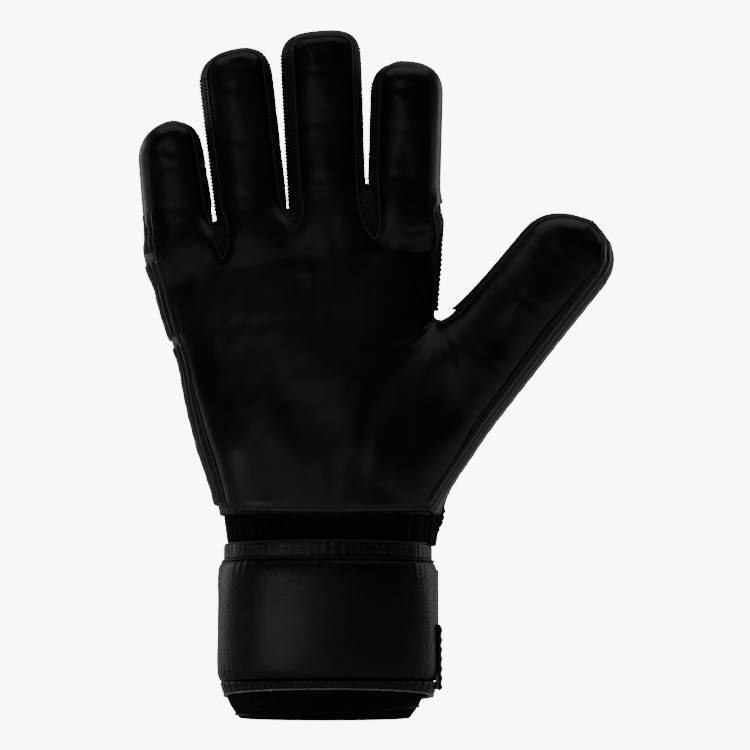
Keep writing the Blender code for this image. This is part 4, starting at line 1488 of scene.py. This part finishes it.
def build_flap():
    def quilt(u, v, width, tall):
        line = np.exp(-((v - tall * 0.5) / 1.0) ** 2) * ramp(u, 8, 14) * ramp(width - u, 8, 14)
        inward = np.minimum(np.minimum(u, width - u), np.minimum(v, tall - v))
        return 0.5 - 0.7 * line - 0.55 * np.exp(-((inward - 3.2) / 0.8) ** 2)

    def loops(u, v, width, tall):
        return 0.16 * np.sin(u * 5.2) * np.sin(v * 4.7)

    def grip(u, v, width, tall):
        return 0.25 * np.sin(v * 1.6)

    curved_sheet("strap_flap_panel", "flap_panel", (2.15, 4.35), (150, 13), (19, 63), STRAP, "strap_flap",
                 150, 56,
                 quilt)
    curved_sheet("hook_strip", "hook_patch", (1.2, 1.85), (130, 40), (26, 56), FASTENER, "strap_flap", 150, 70,
                 loops)
    curved_sheet("loop_strip", "loop_patch", (0.25, 0.9), (135, 45), (24, 58), FASTENER, "cuff", 150, 70, loops)
    curved_sheet("pull_tab_grip", "pull_tab", (2.2, 5.0), (16.0, -9), (13, 40), STRAP, "strap_flap",
                 40, 34, grip)
    spots = []
    for start, end, count in (((146, 21.6), (17, 21.6), 90), ((17, 21.6), (17, 60.4), 20),
                              ((17, 60.4), (146, 60.4), 90), ((146, 60.4), (146, 21.6), 20)):
        spots.append(np.linspace(start, end, count))
    angle, z = np.vstack(spots).T
    stitches("flap_stitch", off_strap(angle, flap_offset(4.4, angle), z), radial(np.radians(angle)), THREAD,
             2.4, 1.1, 0.3, "strap_flap")


# ---------------------------------------------------------------- what stands for what

def stand_in():
    """Hides the CAD nodes that the pieces stand for."""
    def take(piece, *nodes):
        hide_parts(*nodes)

    for piece, *nodes in (
            ("latex_palm", "palm_latex", "palm_lining"), ("latex_fold", "palm_upper"),
            ("back_palm", "backhand_panel", "backhand_lining"), ("back_fold", "knuckle_pads"),
            ("side_pad_0_palm", "side_pad_lower"), ("side_pad_1_palm", "side_pad_upper"),
            ("side_pad_2_fold", "little_side_pad"), ("side_groove_0_palm", "side_groove"),
            ("thumb_pad_palm", "thumb_side_pad"), ("crotch_palm", "crotch_mesh"),
            ("bead_edge_fold", "index_side_mesh")):
        take(piece, *nodes)
    for digit in DIGITS:
        for part, end in (("lower", "base"), ("upper", "tip")):
            take(f"latex_{digit.name}_{part}", f"{digit.name}_front_{end}")
            take(f"back_{digit.name}_{part}", f"{digit.name}_back_{end}")
            gussets = [n for n in frame["nodes"] if n.startswith(digit.name + "_gusset") and n.endswith(end)]
            take(f"mesh_{digit.name}_{part}", *gussets)


build_sides()
build_edges(build_hand())
build_cuff()
build_flap()
stand_in()


# ---------------------------------------------------------------- stage

WHITE = 9.0             # how bright the backdrop looks to the camera; it lights the glove far less
PHOTO_SIZE = 750        # pixels
PHOTO_SCALE = 2.36      # pixels per millimetre
WRIST_PIXEL = (329.5, 717)      # where the middle of the cuff's rim is in the photo


def build_stage():
    floor = bpy.data.meshes.new("floor")
    floor.from_pydata([(-3, -3, 0), (3, -3, 0), (3, 3, 0), (-3, 3, 0)], [], [(0, 1, 2, 3)])
    paper = Nodes("paper")
    floor.materials.append(paper.finish(Base__Color=(0.93, 0.93, 0.93, 1.0), Roughness=0.95,
                                        Emission__Color=(1.0, 1.0, 1.0, 1.0),
                                        Emission__Strength=paper.math("MULTIPLY", paper.seen(), WHITE * 0.97)))
    link("floor", floor)
    studio = Nodes(bpy.data.worlds.new("studio"), "Background")
    way = studio.tree.nodes.new("ShaderNodeTexCoord").outputs["Generated"]
    depth = studio.node("ShaderNodeSeparateXYZ", Vector=way).outputs["Y"]
    bpy.context.scene.world = studio.finish(Color=(1, 1, 1, 1), Strength=studio.math(
        "MAXIMUM", studio.range(depth, -0.25, 0.6, 0.02, 0.4), studio.math("MULTIPLY", studio.seen(), WHITE)))


def aim_at(thing, place, way):
    thing.location = place
    thing.rotation_euler = way.to_track_quat("-Z", "Y").to_euler()


def add_light(name, place, target, size, power, spread=180):
    data = bpy.data.lights.new(name, "AREA")
    data.shape = "RECTANGLE"
    data.size, data.size_y = size
    data.energy = power
    data.spread = math.radians(spread)
    aim_at(link(name, data), Vector(place), Vector(target) - Vector(place))


def add_camera():
    """Long lens, square on to the palm, a little below the middle."""
    lens, width = 100.0, 36.0
    distance = PHOTO_SIZE / PHOTO_SCALE * MM * lens / width * 0.991
    middle = PHOTO_SIZE / 2
    centre = world(((middle - WRIST_PIXEL[0]) / PHOTO_SCALE, 0.0,
                    (WRIST_PIXEL[1] - middle) / PHOTO_SCALE - 0.9))
    pitch = math.radians(-6.0)
    data = bpy.data.cameras.new("camera")
    data.lens, data.sensor_width = lens, width
    data.clip_start = 0.01
    back = Vector((0.0, -math.cos(pitch), math.sin(pitch)))
    bpy.context.scene.camera = link("camera", data)
    aim_at(bpy.context.scene.camera, centre + back * distance, -back)


build_stage()
add_camera()
add_light("top", (0.0, -0.25, 1.1), (0, 0.1, 0.0), (1.4, 1.0), 3.5)
add_light("left", (-1.0, 0.34, 0.30), (0, 0, 0.15), (0.35, 0.9), 3.9)
add_light("right", (1.0, 0.34, 0.30), (0, 0, 0.15), (0.35, 0.9), 3.0)
add_light("front", (-0.22, -1.35, 0.24), (0.0, 0, 0.16), (0.40, 0.6), 0.60)
add_light("cuff_front", (-0.40, -0.60, 0.02), (-0.02, 0, 0.036), (0.06, 0.08), 0.0042, 12)
